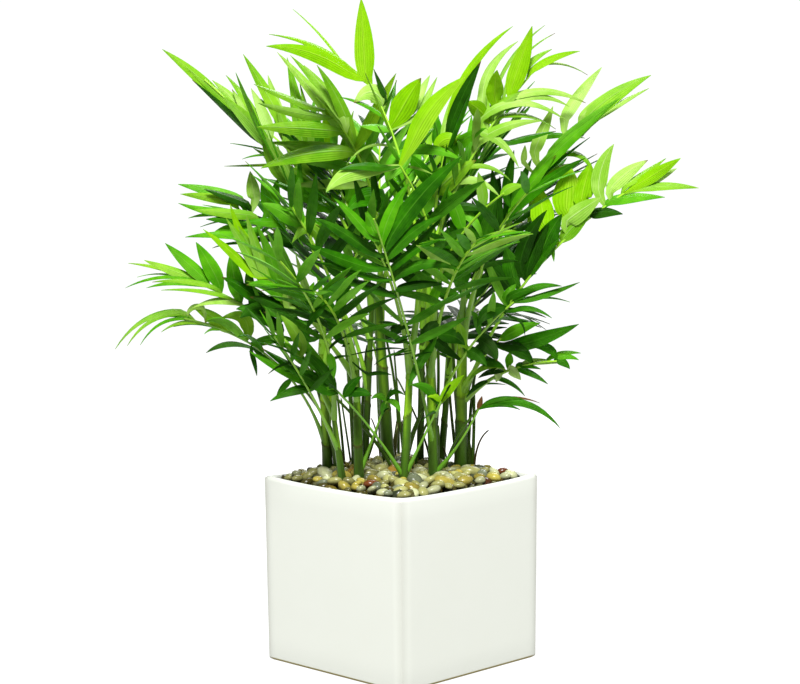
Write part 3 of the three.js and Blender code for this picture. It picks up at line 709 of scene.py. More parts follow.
def buildVeinGroup():
    tree, start, end = groupTree("leafVeins", [("Shape", "NodeSocketVector")],
                                 [("Vein", "NodeSocketFloat"), ("Midrib", "NodeSocketFloat"),
                                  ("Height", "NodeSocketFloat")])
    split = tree.nodes.new("ShaderNodeSeparateXYZ")
    tree.links.new(start.outputs["Shape"], split.inputs[0])
    offset = mathNode(tree, "ABSOLUTE", mathNode(tree, "SUBTRACT", split.outputs[0], 0.5))
    waves = mathNode(tree, "SINE", mathNode(tree, "MULTIPLY", offset, veinLines["waves"]))
    vein = mathNode(tree, "POWER", mathNode(tree, "MULTIPLY_ADD", waves, 0.5, 0.5),
                    veinLines["power"])
    midrib = rampValue(tree, offset, *veinLines["midrib"])
    height = mathNode(tree, "ADD", mathNode(tree, "MULTIPLY", vein, veinLines["relief"]), midrib)
    for label, value in (("Vein", vein), ("Midrib", midrib), ("Height", height)):
        tree.links.new(value, end.inputs[label])
    return tree


# broad and fine patches in one value
mottle = {"detail": 3, "roughness": 0.5, "finer": 4.5, "broad": 0.65, "fine": 0.35,
          "contrast": (0.36, 0.64)}


def noiseValue(tree, place, scale):
    node = tree.nodes.new("ShaderNodeTexNoise")
    node.inputs["Detail"].default_value = mottle["detail"]
    node.inputs["Roughness"].default_value = mottle["roughness"]
    tree.links.new(scale, node.inputs["Scale"])
    tree.links.new(place, node.inputs["Vector"])
    return node.outputs["Fac"]


def buildMottleGroup():
    tree, start, end = groupTree("mottle", [("Place", "NodeSocketVector"),
                                            ("Scale", "NodeSocketFloat")],
                                 [("Mottle", "NodeSocketFloat")])
    place, scale = start.outputs["Place"], start.outputs["Scale"]
    broad = noiseValue(tree, place, scale)
    fine = noiseValue(tree, place, mathNode(tree, "MULTIPLY", scale, mottle["finer"]))
    mixed = mathNode(tree, "ADD", mathNode(tree, "MULTIPLY", broad, mottle["broad"]),
                     mathNode(tree, "MULTIPLY", fine, mottle["fine"]))
    tree.links.new(rampValue(tree, mixed, *mottle["contrast"]), end.inputs["Mottle"])
    return tree


veinGroup = buildVeinGroup()
mottleGroup = buildMottleGroup()


def useGroup(tree, group, **inputs):
    node = tree.nodes.new("ShaderNodeGroup")
    node.node_tree = group
    for label, value in inputs.items():
        setSocket(tree, node.inputs[label.capitalize()], value)
    return node.outputs


def objectPlace(tree):
    return tree.nodes.new("ShaderNodeTexCoord").outputs["Object"]


def mottleValue(tree, scale):
    return useGroup(tree, mottleGroup, place=objectPlace(tree), scale=scale)["Mottle"]


# links the colour and the relief of a shader, and takes its shine from the dictionary of a piece
def finishShader(tree, shader, colour, height, looks):
    tree.links.new(colour, shader.inputs["Base Color"])
    shader.inputs["Roughness"].default_value = looks["roughness"]
    shader.inputs["Specular IOR Level"].default_value = looks["specular"]
    shader.inputs["Specular Tint"].default_value = (*looks["sheen"], 1)
    bump = tree.nodes.new("ShaderNodeBump")
    bump.inputs["Strength"].default_value = looks["relief"]
    bump.inputs["Distance"].default_value = looks["depth"]
    tree.links.new(height, bump.inputs["Height"])
    tree.links.new(bump.outputs[0], shader.inputs["Normal"])


# each tint: the blade, its darker patches, the pale underside, and the light that comes through
# the tints are partly the leaves' own colours and partly painted light and shade: lime, spring and
# bright go on leaflets out in the light, pale is a painted highlight on leaflets that catch the light,
# and green and dark go on leaflets in the shade inside the crown
leafTints = {
    "lime": {"body": (0.25, 0.52, 0.002), "deep": (0.18, 0.44, 0.001),
             "under": (0.42, 0.66, 0.04), "glow": (0.47, 0.80, 0.01)},
    "spring": {"body": (0.26, 0.51, 0.025), "deep": (0.14, 0.40, 0.008),
               "under": (0.38, 0.60, 0.14), "glow": (0.50, 0.74, 0.03)},
    "bright": {"body": (0.125, 0.42, 0.008), "deep": (0.05, 0.28, 0.001),
               "under": (0.21, 0.50, 0.05), "glow": (0.36, 0.72, 0.005)},
    "green": {"body": (0.034, 0.19, 0.001), "deep": (0.010, 0.085, 0.001),
              "under": (0.09, 0.32, 0.015), "glow": (0.17, 0.56, 0.003)},
    "dark": {"body": (0.014, 0.09, 0.001), "deep": (0.005, 0.036, 0.001),
             "under": (0.04, 0.18, 0.006), "glow": (0.05, 0.26, 0.002)},
    "pale": {"body": (0.42, 0.62, 0.13), "deep": (0.22, 0.48, 0.03),
             "under": (0.62, 0.80, 0.32), "glow": (0.45, 0.72, 0.08)},
    "dry": {"body": (0.22, 0.10, 0.03), "deep": (0.10, 0.04, 0.015),
            "under": (0.30, 0.17, 0.07), "glow": (0.20, 0.09, 0.02)},
}
# a leaflet is widest at a share of its length, and its two halves fall a little from the midrib;
# wobble is the spread of its turn out, lift, growth, drop, sweep and twist, and baseFrom is the
# share of the bare stalk from which a leaflet placed one by one may start; the leaflets of the two
# regular rows close up and shorten toward the frond's tip, stand a little out of step, and take
# the frond's tint or one beside it, often a darker one near the stalk's base as painted shade,
# partly for older leaves; one half of some leaflets carries a painted highlight, washed toward the
# pale underside colour
leaflet = {"slender": 7.8, "widest": 0.36, "base": 0.2, "swell": 0.8, "narrow": 0.9, "tip": 0.02,
           "fall": 0.28, "thick": 0.45, "reach": 0.2, "baseFrom": 0.6, "basePlaces": 60,
           "twist": 0.2, "wobble": (0.08, 0.14, 0.06, 0.04, 0.04, 0.35),
           "close": 0.55, "short": 0.74, "long": 0.26, "first": 0.12, "run": 0.8, "stagger": 0.12,
           "lower": 0.3, "shifts": (-1, 0, 0, 1), "lowerShifts": (0, 1, 1),
           "scorchFrom": 0.93, "scorchRise": 14, "scorchOdds": 0.12, "paintedSheen": 0.75,
           "patches": 28.0, "vein": 0.2, "midrib": 0.6, "through": 0.4,
           "scorch": (0.16, 0.07, 0.02), "scorchGlow": (0.10, 0.05, 0.02), "roughness": 0.34,
           "specular": 0.2, "sheen": (0.75, 1, 0.4), "relief": 0.6, "depth": 0.001}


def makeLeafMaterial(name, tint, under):
    material, tree, shader = newMaterial(name)
    shape = tree.nodes.new("ShaderNodeUVMap")
    shape.uv_map = "shape"
    lines = useGroup(tree, veinGroup, shape=shape.outputs[0])
    patch = mottleValue(tree, leaflet["patches"])
    light, dark = (tint["under"], tint["body"]) if under else (tint["body"], tint["deep"])
    colour = mixColour(tree, patch, light, dark)
    colour = wash(tree, colour, dark, lines["Vein"], leaflet["vein"])
    colour = wash(tree, colour, tint["under"], lines["Midrib"], leaflet["midrib"])
    # painted highlight: one half of some leaflets is washed toward the pale underside colour, veins
    # kept
    paintedSheen = mathNode(tree, "MULTIPLY", attributeValue(tree, "paintedSheen"),
                     mathNode(tree, "SUBTRACT", 1.0, lines["Vein"]))
    colour = mixColour(tree, paintedSheen, colour, tint["under"])
    scorch = attributeValue(tree, "scorch")
    colour = mixColour(tree, scorch, colour, leaflet["scorch"])
    finishShader(tree, shader, colour, lines["Height"], leaflet)
    through = mixColour(tree, patch, tint["glow"], tint["body"])
    through = mixColour(tree, scorch, through, leaflet["scorchGlow"])
    glow = tree.nodes.new("ShaderNodeBsdfTranslucent")
    tree.links.new(through, glow.inputs["Color"])
    blend = tree.nodes.new("ShaderNodeMixShader")
    blend.inputs[0].default_value = leaflet["through"]
    tree.links.new(shader.outputs[0], blend.inputs[1])
    tree.links.new(glow.outputs[0], blend.inputs[2])
    tree.links.new(blend.outputs[0], tree.nodes["Material Output"].inputs["Surface"])
    return material


# a leaf has a material for its top and one for its underside
leafMaterials = []
for tintName, tint in leafTints.items():
    leafMaterials.append(makeLeafMaterial("leaf_" + tintName, tint, False))
    leafMaterials.append(makeLeafMaterial("leaf_" + tintName + "_under", tint, True))

leafShape = leafTemplate(4, 12)
leafShape["across"] = leafShape["verts"][:, 0]
leafShape["along"] = (leafShape["verts"][:, 1] + 1) / 2
leafShape["layer"] = np.round((leafShape["verts"][:, 2] - leafShape["verts"][:, 2].min())
                              / np.ptp(leafShape["verts"][:, 2]))
leafShape["below"] = np.array([leafShape["layer"][face].sum() == 0 for face in leafShape["faces"]])


def leafWidth(s):
    rising = np.sin(np.pi / 2 * np.minimum(1, s / leaflet["widest"])) ** leaflet["swell"]
    rising = leaflet["base"] + (1 - leaflet["base"]) * rising
    share = np.clip((s - leaflet["widest"]) / (1 - leaflet["widest"]), 0, 1)
    falling = np.cos(np.pi / 2 * share) ** leaflet["narrow"]
    falling = falling * (1 - leaflet["tip"]) + leaflet["tip"]
    return np.where(s < leaflet["widest"], rising, falling)


# lays a blade along its midrib: half widths, top facing and twist are given for every vertex
def layBlade(line, direction, facing, half, twist):
    across, layer = leafShape["across"], leafShape["layer"]
    normal = unit(facing - direction * (facing * direction).sum(1)[:, None])
    sidewise = np.cross(direction, normal)
    cosine, sine = np.cos(twist)[:, None], np.sin(twist)[:, None]
    normal, sidewise = normal * cosine + sidewise * sine, sidewise * cosine - normal * sine
    fall = -np.abs(across) * half * leaflet["fall"] + (layer - 1) * leaflet["thick"]
    return line + sidewise * (across * half)[:, None] + normal * fall[:, None]


# a leaflet of the two regular rows, at share u of the leafy stretch
def rowLeaflet(frond, u, side, dice):
    s = leafShape["along"]
    flat = s[:, None]
    turnOut, lift, grow, drop, sweep, twist = dice.normal(0, 1, 6) * leaflet["wobble"]
    t = frond["bare"] + (1 - frond["bare"]) * u
    place, along, across, above = stalkFrame(frond, t)
    angle = math.radians(frond["spread"] * (1 - leaflet["close"] * u)) + turnOut
    lift += math.radians(frond["lift"])
    swell = math.sin(math.pi * min(1, leaflet["first"] + leaflet["run"] * u))
    length = frond["leaf"] * (leaflet["short"] + leaflet["long"] * swell)
    length *= 1 + grow
    outward = across * side * math.cos(lift) + above * math.sin(lift)
    start = along * math.cos(angle) + outward * math.sin(angle)
    drop += frond["droop"]
    line = place + start * length * flat - upward * drop * length * flat ** 2
    line = line + along * sweep * length * flat ** 2
    direction = unit(start - upward * 2 * drop * flat + along * 2 * sweep * flat)
    facing = np.broadcast_to(above * math.cos(lift) - across * side * math.sin(lift), line.shape)
    half = length / leaflet["slender"] / 2 * leafWidth(s)
    return layBlade(line, direction, facing, half, twist * s)


# a leaflet placed by where its base and tip are seen, with its base on the frond's stalk
def seenLeaflet(frond, seen, dice):
    s = leafShape["along"]
    flat = s[:, None]
    shares = np.linspace(frond["bare"] * leaflet["baseFrom"], 1, leaflet["basePlaces"])
    stalk = stalkFrame(frond, shares)[0]
    miss = pixelPlace(stalk) - (seen["baseX"], seen["baseY"])
    base = stalk[np.argmin((miss ** 2).sum(1))]
    start = placeSeen(seen["baseX"], seen["baseY"], base[1])
    level = placeSeen(seen["tipX"], seen["tipY"], base[1])
    deep = base[1] - np.linalg.norm(level - start) * math.tan(math.radians(seen["toward"]))
    run = placeSeen(seen["tipX"], seen["tipY"], deep) - start
    length = np.linalg.norm(run)
    rise = np.array([-run[2], 0, run[0]]) * (1 if run[0] > 0 else -1)
    rise = unit(rise) * seen["arch"] * length
    reach = np.clip(1 - flat / leaflet["reach"], 0, 1)
    line = start + run * flat + rise * 4 * flat * (1 - flat) + (base - start) * reach ** 2
    direction = run + rise * 4 * (1 - 2 * flat) - (base - start) * 2 * reach / leaflet["reach"]
    direction = unit(direction)
    front = unit(np.array([0, -1.0, 0]) - direction * -direction[:, 1:2])
    second = np.cross(direction, front)
    second = second * np.where(second[:, 2:] < 0, -1, 1)
    tilt = math.radians(seen["tilt"])
    facing = front * math.cos(tilt) + second * math.sin(tilt)
    twist = dice.normal(0, leaflet["twist"])
    return layBlade(line, direction, facing, seen["width"] / 2 * leafWidth(s), twist * s)


def makeLeaflets(index, frond):
    dice = np.random.default_rng([plant["seed"], index])
    order = list(leafTints)
    places, slots, scorch, paintedSheen = [], [], [], []
    s = leafShape["along"]

    def keep(point, tone):
        places.append(point)
        slots.append(2 * tone + leafShape["below"])
        burnt = np.clip((s - leaflet["scorchFrom"]) * leaflet["scorchRise"], 0, 1)
        scorch.append(burnt * (dice.uniform() < leaflet["scorchOdds"]))
        # a painted highlight of random strength on one half of the leaflet, picked at random
        half = 0.5 + 0.5 * leafShape["across"] * dice.choice((-1, 1))
        paintedSheen.append(half * dice.uniform(0, 1) ** 2 * leaflet["paintedSheen"])

    pairs = frond["pairs"]
    for k in range(pairs):
        for side in (1, -1):
            u = frond["rows"] * k / max(pairs - 1, 1)
            step = side * leaflet["stagger"] / pairs * (0 < k < pairs - 1)
            u = float(np.clip(u + step, 0, 1))
            point = rowLeaflet(frond, u, side, dice)
            # near the stalk's base the tints shift darker: partly painted shade inside the crown,
            # partly older leaves
            shifts = leaflet["shifts"] if u > leaflet["lower"] else leaflet["lowerShifts"]
            tone = order.index(frond["tint"]) + dice.choice(shifts)
            keep(point, int(np.clip(tone, 0, order.index("dark"))))
    for row in seenLeaves.get(index, ()):
        seen = dict(zip(seenColumns, row))
        keep(seenLeaflet(frond, seen, dice), order.index(seen["tint"]))
    uv = np.stack([leafShape["across"] / 2 + 0.5, s], axis=1)
    piece = copiesObject(f"leaflets_{index}", leafShape, places, {"scorch": scorch, "paintedSheen": paintedSheen},
                         [uv] * len(places))
    for material in leafMaterials:
        piece.data.materials.append(material)
    piece.data.polygons.foreach_set("material_index", np.concatenate(slots).astype(np.int32))
    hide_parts(f"frond_{index}")
    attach(piece, "root")


# petiole and rachis in one rod that thins to its tip, with a clasping base; it is stouter and
# lighter on the fronds that leave their stem higher up
rib = {"base": 1.2, "more": 1.4, "moreBy": 110, "tip": 0.9, "thin": 1.4, "clasp": 0.3,
       "claspLength": 24, "footLight": 0.45, "lowLight": 0.3, "lightBy": 90, "patches": 60.0,
       "dim": (0.03, 0.13, 0.004), "light": (0.32, 0.62, 0.02), "patch": (0.05, 0.16, 0.01),
       "patchShare": 0.4, "roughness": 0.35, "specular": 0.5, "sheen": (1, 1, 1), "relief": 0.15,
       "depth": 0.0004}
ribShape = rodTemplate(8, 28)


def makeRibMaterial():
    material, tree, shader = newMaterial("rib")
    patch = mottleValue(tree, rib["patches"])
    colour = mixColour(tree, attributeValue(tree, "light"), rib["dim"], rib["light"])
    colour = wash(tree, colour, rib["patch"], patch, rib["patchShare"])
    finishShader(tree, shader, colour, patch, rib)
    return material


ribMaterial = makeRibMaterial()


def makeRib(index, frond):
    verts = ribShape["verts"]
    t = verts[:, 2] + 0.5
    place, _, across, above = stalkFrame(frond, t)
    length = math.hypot(frond["reach"], frond["rise"])
    base = rib["base"] + rib["more"] * min(1, frond["up"] / rib["moreBy"])
    radius = rib["tip"] + (base - rib["tip"]) * (1 - t) ** rib["thin"]
    grip = np.exp(-(t * length / rib["claspLength"]) ** 2)
    radius = radius + grip * (stems[frond["stem"]]["radius"] * rib["clasp"])
    point = place + across * (verts[:, 0] * radius)[:, None]
    point = point + above * (verts[:, 1] * radius)[:, None]
    light = rib["footLight"] + (1 - rib["footLight"]) * t
    light = light * min(1, rib["lowLight"] + frond["up"] / rib["lightBy"])
    piece = copiesObject(f"rib_{index}", ribShape, [point], {"light": [light]})
    piece.data.materials.append(ribMaterial)
    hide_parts(f"frond_{index}")
    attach(piece, "root")


for index, frond in enumerate(fronds, 1):
    makeLeaflets(index, frond)
    makeRib(index, frond)
print("fronds made:", len(fronds))

# a stem is wider at its foot, which starts a little under the pebbles, and its colour is oldest
# there; an old leaf scar is a slanting dark band with a raised edge, where a sheath has come away,
# with the stem stouter and duller below it and fresher above it, each fading over a length
stem = {"top": 0.64, "foot": 1.0, "flare": 0.12, "flareBy": 10, "under": 7, "seed": 100,
        "ridges": 9, "ridgeDepth": 0.03, "footFresh": 0.1, "freshRise": 1.6, "streaky": 0.14,
        "slant": 3.2, "wobble": 0.4, "band": 0.9, "faintest": 0.6, "edge": 0.5, "edgeBand": 1.4,
        "stouter": 0.07, "stouterBy": 18, "fresher": 0.16, "fresherBy": 16, "duller": 0.1,
        "dullerBy": 10, "patches": 45.0, "streaks": 420.0, "drawn": (1, 1, 0.06),
        "old": (0.012, 0.022, 0.003), "green": (0.05, 0.13, 0.006), "young": (0.30, 0.58, 0.015),
        "patch": (0.02, 0.07, 0.008), "patchShare": 0.4, "streak": (0.03, 0.055, 0.006),
        "streakShare": 0.5, "scar": (0.035, 0.018, 0.007), "roughness": 0.28, "specular": 0.3,
        "sheen": leaflet["sheen"], "relief": 0.2, "depth": 0.0006}
stemShape = rodTemplate(24, 90)


def makeStemMaterial():
    material, tree, shader = newMaterial("stem")
    patch = mottleValue(tree, stem["patches"])
    drawn = tree.nodes.new("ShaderNodeVectorMath")
    drawn.operation = "MULTIPLY"
    drawn.inputs[1].default_value = stem["drawn"]
    tree.links.new(objectPlace(tree), drawn.inputs[0])
    streak = useGroup(tree, mottleGroup, place=drawn.outputs[0], scale=stem["streaks"])
    fresh = attributeValue(tree, "fresh")
    colour = mixColour(tree, rampValue(tree, fresh, 0, 0.5), stem["old"], stem["green"])
    colour = mixColour(tree, rampValue(tree, fresh, 0.5, 1), colour, stem["young"])
    colour = wash(tree, colour, stem["patch"], patch, stem["patchShare"])
    colour = wash(tree, colour, stem["streak"], streak["Mottle"], stem["streakShare"])
    colour = mixColour(tree, attributeValue(tree, "scar"), colour, stem["scar"])
    finishShader(tree, shader, colour, patch, stem)
    return material


stemMaterial = makeStemMaterial()


def makeStem(index, name):
    spec = stems[name]
    dice = np.random.default_rng(stem["seed"] + index)
    verts = stemShape["verts"]
    share = verts[:, 2] + 0.5
    up = share * (spec["tall"] + stem["under"]) - stem["under"]
    angle = np.arctan2(verts[:, 1], verts[:, 0])
    taper = stem["foot"] - (stem["foot"] - stem["top"]) * share
    taper = taper + stem["flare"] * np.exp(-(up / stem["flareBy"]) ** 2)
    radius = spec["radius"] * taper
    fresh = spec["green"] * np.minimum(1, stem["footFresh"] + stem["freshRise"] * share)
    fresh = fresh + stem["streaky"] * np.sin(3 * angle + dice.uniform(0, 6) + share * 4)
    scar = np.zeros(len(verts))
    for height in np.array(spec["scars"]) * spec["tall"]:
        slant = stem["slant"] * np.cos(angle - dice.uniform(0, 6.28))
        near = up - height - (slant + dice.normal(0, stem["wobble"]))
        band = np.exp(-(near / stem["band"]) ** 2) * dice.uniform(stem["faintest"], 1)
        scar = np.maximum(scar, band)
        stouter = stem["stouter"] * spec["radius"] * (near < 0) * np.exp(near / stem["stouterBy"])
        radius = radius + stem["edge"] * np.exp(-(near / stem["edgeBand"]) ** 2) + stouter
        fresher = stem["fresher"] * (near > 0) * np.exp(-near / stem["fresherBy"])
        duller = stem["duller"] * (near < 0) * np.exp(near / stem["dullerBy"])
        fresh = fresh + fresher - duller
    radius = radius * (1 + stem["ridgeDepth"] * np.sin(stem["ridges"] * angle))
    point = stemPoint(name, up)
    point[:, :2] += verts[:, :2] * radius[:, None]
    piece = copiesObject(f"cane_{index}", stemShape, [point],
                         {"fresh": [np.clip(fresh, 0, 1)], "scar": [scar]})
    piece.data.materials.append(stemMaterial)
    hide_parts(f"stem_{index}")
    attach(piece, "root")


for index, name in enumerate(stems, 1):
    makeStem(index, name)
print("stems made:", len(stems))

# petioles and sheaths that rise from the pebbles beside a stem: where foot, middle and end are
# seen, the radius at foot and end, and how fresh and how scarred they are
shootColumns = ("stem", "feet", "middle", "end", "wide", "thin", "fresh", "scar")
shootRows = (
    ("a", (336, 476), (326, 424), (300, 386), 1.9, 1.1, 0.5, 0),
    ("a", (338, 478), (335, 448), (325, 420), 4.8, 2.9, 0.45, 0),
    ("a", (344, 476), (343, 468), (341, 452), 3.1, 2.5, 0.05, 0.8),
    ("a", (330, 470), (328, 440), (331, 388), 3.6, 2.2, 0.75, 0),
    ("a", (345, 462), (341, 428), (337, 392), 1.4, 1.1, 0.15, 0),
    ("a", (352, 462), (346, 430), (341, 398), 1.1, 0.8, 0.25, 0),
    ("a", (340, 472), (322, 405), (296, 318), 1.9, 1.1, 0.45, 0),
    ("c", (359, 470), (362, 420), (367, 345), 2.5, 1.7, 0.12, 0),
    ("c", (354, 478), (352, 420), (345, 330), 2.5, 1.9, 0.4, 0),
    ("c", (362, 474), (374, 440), (384, 400), 1.2, 0.8, 0.35, 0),
    ("c", (381, 458), (377, 436), (371, 418), 0.9, 0.6, 0.05, 0.9),
    ("f", (396, 478), (374, 440), (330, 392), 1.9, 1.2, 0.4, 0),
    ("e", (392, 454), (396, 436), (398, 420), 2.9, 1.7, 0.05, 0.5),
    ("e", (384, 456), (380, 400), (379, 345), 3.6, 2.7, 0.7, 0),
    ("e", (398, 456), (396, 396), (384, 330), 1.6, 1.1, 0.3, 0),
    ("e", (404, 458), (399, 410), (394, 350), 1.3, 0.9, 0.4, 0),
    ("f", (402, 482), (411, 440), (426, 404), 3.7, 1.3, 0.3, 0),
    ("f", (406, 474), (404, 448), (402, 420), 1.6, 1, 0.05, 0.8),
    ("f", (407, 474), (409, 390), (420, 300), 2.9, 2.5, 0.8, 0),
    ("f", (430, 462), (422, 432), (396, 376), 1.2, 0.8, 0.1, 0.2),
    ("g", (434, 480), (436, 450), (436, 424), 4.6, 3.1, 0.4, 0),
    ("g", (436, 472), (433, 380), (428, 312), 3.1, 2.7, 0.85, 0),
    ("g", (415, 474), (424, 430), (447, 398), 1.3, 0.9, 0.75, 0),
    ("g", (430, 470), (438, 400), (436, 300), 1.8, 1.3, 0.5, 0),
    ("g", (443, 478), (456, 440), (480, 407), 1.6, 0.9, 0.45, 0),
    ("g", (449, 462), (445, 452), (440, 444), 0.9, 0.6, 0.05, 0.9),
    ("h", (466, 466), (461, 420), (463, 345), 3.2, 2.7, 0.85, 0),
    ("h", (458, 462), (453, 430), (449, 386), 1.8, 1.2, 0.1, 0.2),
    ("h", (463, 464), (456, 400), (452, 320), 1.9, 1.4, 0.3, 0),
    ("h", (472, 462), (474, 420), (473, 378), 1.8, 1.3, 0.4, 0),
    ("h", (470, 464), (469, 452), (466, 438), 3.7, 2.5, 0.15, 0.1),
    ("h", (474, 460), (478, 446), (489, 430), 1.1, 0.7, 0.05, 0.9),
    ("h", (468, 462), (474, 380), (490, 320), 1.7, 1.2, 0.35, 0),
)
shoots = [dict(zip(shootColumns, row)) for row in shootRows]
# a shoot leans back by up to a few millimetres and closes at its tip, and a thick one has a scar
# there; bed is how far from the middle of the pot its foot may stand toward a corner
shootForm = {"seed": 200, "under": 6, "lean": 10, "tip": 0.35, "tipRise": 14, "streak": 0.1,
             "footFresh": 0.25, "freshRise": 0.9, "cutFrom": 0.93, "cutRise": 12, "cutWidth": 2.5,
             "bed": 100, "far": 200}
shootShape = rodTemplate(10, 24)


# the place of a foot on the pebbles, kept inside the pot, whose corners point front and back
def placeFoot(across, down, height):
    near = placeSeen(across, down, -shootForm["far"])
    far = placeSeen(across, down, shootForm["far"])
    foot = near + (far - near) * (height - near[2]) / (far[2] - near[2])
    deepest = max(0, shootForm["bed"] - abs(foot[0]))
    foot = placeSeen(across, down, min(max(foot[1], -deepest), deepest))
    foot[2] = height
    return foot


def makeShoots(index, own):
    places, fresh, scar = [], [], []
    verts = shootShape["verts"]
    share = verts[:, 2] + 0.5
    t = share[:, None]
    dice = np.random.default_rng(shootForm["seed"] + index)
    for shoot in own:
        foot = placeFoot(*shoot["feet"], plant["ground"] - shootForm["under"])
        middle = placeSeen(*shoot["middle"], foot[1])
        end = placeSeen(*shoot["end"], foot[1] + dice.uniform(0, shootForm["lean"]))
        control = 2 * middle - (foot + end) / 2
        line = foot * (1 - t) ** 2 + control * 2 * t * (1 - t) + end * t ** 2
        along = unit((control - foot) * (1 - t) + (end - control) * t)
        across = unit(np.cross(along, (0.0, 1.0, 0.0)))
        front = np.cross(along, across)
        radius = shoot["wide"] + (shoot["thin"] - shoot["wide"]) * t
        radius = radius * np.minimum(1, shootForm["tip"] + (1 - t) * shootForm["tipRise"])
        places.append(line + (across * verts[:, :1] + front * verts[:, 1:2]) * radius)
        angle = np.arctan2(verts[:, 1], verts[:, 0])
        streak = shootForm["streak"] * np.sin(2 * angle + dice.uniform(0, 6))
        green = shoot["fresh"] * (shootForm["footFresh"] + shootForm["freshRise"] * share)
        fresh.append(np.clip(green + streak, 0, 1))
        cut = np.clip((share - shootForm["cutFrom"]) * shootForm["cutRise"], 0, 1)
        scar.append(np.clip(shoot["scar"] + cut * (shoot["thin"] > shootForm["cutWidth"]), 0, 1))
    piece = copiesObject(f"shoots_{index}", shootShape, places, {"fresh": fresh, "scar": scar})
    piece.data.materials.append(stemMaterial)
    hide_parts(f"stem_{index}")
    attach(piece, "root")


for index, name in enumerate(stems, 1):
    own = [shoot for shoot in shoots if shoot["stem"] == name]
    if own:
        makeShoots(index, own)
print("shoots made:", len(shoots))

# the pot in metres: a rounded square that narrows to its foot, with its rim sagging between the
# corners over the top of its height; the steps are the rings of its foot, wall and lip; bare clay
# shows at the very foot, and the glaze along its corners is a little darker, a painted shade
pot = {"side": 0.180, "height": 0.172, "foot": 0.985, "corner": 0.0045, "wall": 0.007,
       "floor": 0.009, "round": 0.002, "innerCorner": 0.004, "heel": 0.004, "innerWall": 0.8,
       "sag": 0.0022, "sagFrom": 0.9, "sagRise": 10, "footSteps": 4, "wallSteps": 8, "lipSteps": 8,
       "around": 160, "smooth": 60, "patches": 9.0, "patchShare": 0.5,
       "glaze": (0.505, 0.52, 0.472), "patch": (0.495, 0.51, 0.457), "clay": (0.16, 0.13, 0.03),
       "clayFade": (0.0026, 0.0018), "edge": (0.42, 0.43, 0.385), "cornerShadeFade": (0.081, 0.088),
       "roughness": 0.5, "specular": 0.2, "sheen": (1, 1, 1), "relief": 0.04, "depth": 0.001}


# the point of a square with rounded corners that lies in the direction of an angle
def squareOutline(angle, half, corner):
    flat = half - corner
    c, s = math.cos(angle), math.sin(angle)
    reach = half / max(abs(c), abs(s))
    if min(abs(c * reach), abs(s * reach)) > flat:
        dot = abs(c) * flat + abs(s) * flat
        off = dot * dot - (2 * flat * flat - corner * corner)
        reach = dot + math.sqrt(max(off, 0))
    return c * reach, s * reach


def makePotMaterial():
    material, tree, shader = newMaterial("glaze")
    patch = mottleValue(tree, pot["patches"])
    colour = wash(tree, pot["glaze"], pot["patch"], patch, pot["patchShare"])
    split = tree.nodes.new("ShaderNodeSeparateXYZ")
    tree.links.new(objectPlace(tree), split.inputs[0])
    clay = rampValue(tree, split.outputs[2], *pot["clayFade"])
    colour = mixColour(tree, clay, colour, pot["clay"])
    # painted shade: the glaze darkens along the pot's four corners
    nearer = mathNode(tree, "MINIMUM", mathNode(tree, "ABSOLUTE", split.outputs[0]),
                      mathNode(tree, "ABSOLUTE", split.outputs[1]))
    edge = rampValue(tree, nearer, *pot["cornerShadeFade"])
    colour = mixColour(tree, edge, colour, pot["edge"])
    finishShader(tree, shader, colour, patch, pot)
    return material


# inset and height of each ring, from the foot up the wall, over the lip and down to the floor
def potProfile():
    top, wall, heel = pot["height"], pot["wall"], pot["heel"]
    profile = []
    for k in range(pot["footSteps"] + 1):
        bend = math.pi / 2 * k / pot["footSteps"]
        profile.append((pot["round"] * (1 - math.sin(bend)), pot["round"] * (1 - math.cos(bend))))
    profile += [(0, top * k / pot["wallSteps"]) for k in range(1, pot["wallSteps"])]
    for k in range(pot["lipSteps"] + 1):
        bend = math.pi * k / pot["lipSteps"]
        profile.append((wall / 2 - wall / 2 * math.cos(bend),
                        top - wall / 2 + wall / 2 * math.sin(bend)))
    profile += [(wall, top * pot["innerWall"]), (wall, pot["floor"] + heel)]
    profile.append((wall + heel, pot["floor"]))
    return profile


# draws a ring of edges up the profile, and closes the underside and the floor
def makePot():
    top, profile = pot["height"], potProfile()
    bm = bmesh.new()
    bmesh.ops.create_circle(bm, cap_ends=False, segments=pot["around"], radius=1)
    angles = {v: math.atan2(v.co.y, v.co.x) for v in bm.verts}

    def shapeRing(inset, height):
        scale = pot["foot"] + (1 - pot["foot"]) * height / top
        inner = pot["side"] / 2 * scale - inset
        for v, angle in angles.items():
            x, y = squareOutline(angle, inner, max(pot["corner"] - inset, pot["innerCorner"]))
            edge = min(abs(x), abs(y)) / inner
            sag = pot["sag"] * (1 - edge ** 3) * max(0, height / top - pot["sagFrom"]) * pot["sagRise"]
            v.co = (x, y, height - sag)

    bottom = edges = bm.edges[:]
    shapeRing(*profile[0])
    for inset, height in profile[1:]:
        made = bmesh.ops.extrude_edge_only(bm, edges=edges)["geom"]
        edges = [part for part in made if isinstance(part, bmesh.types.BMEdge)]
        ring = {}
        for v in made:
            if isinstance(v, bmesh.types.BMVert):
                mate = next(e.other_vert(v) for e in v.link_edges if e.other_vert(v) in angles)
                ring[v] = angles[mate]
        angles = ring
        shapeRing(inset, height)
    bmesh.ops.contextual_create(bm, geom=bottom)
    bmesh.ops.contextual_create(bm, geom=edges)
    bmesh.ops.recalc_face_normals(bm, faces=bm.faces[:])
    piece = bmeshObject("planter", bm)
    piece.data.shade_smooth()
    piece.data.set_sharp_from_angle(angle=math.radians(pot["smooth"]))
    piece.data.materials.append(makePotMaterial())
    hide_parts("pot")
    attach(piece, "root")


makePot()
print("pot made")
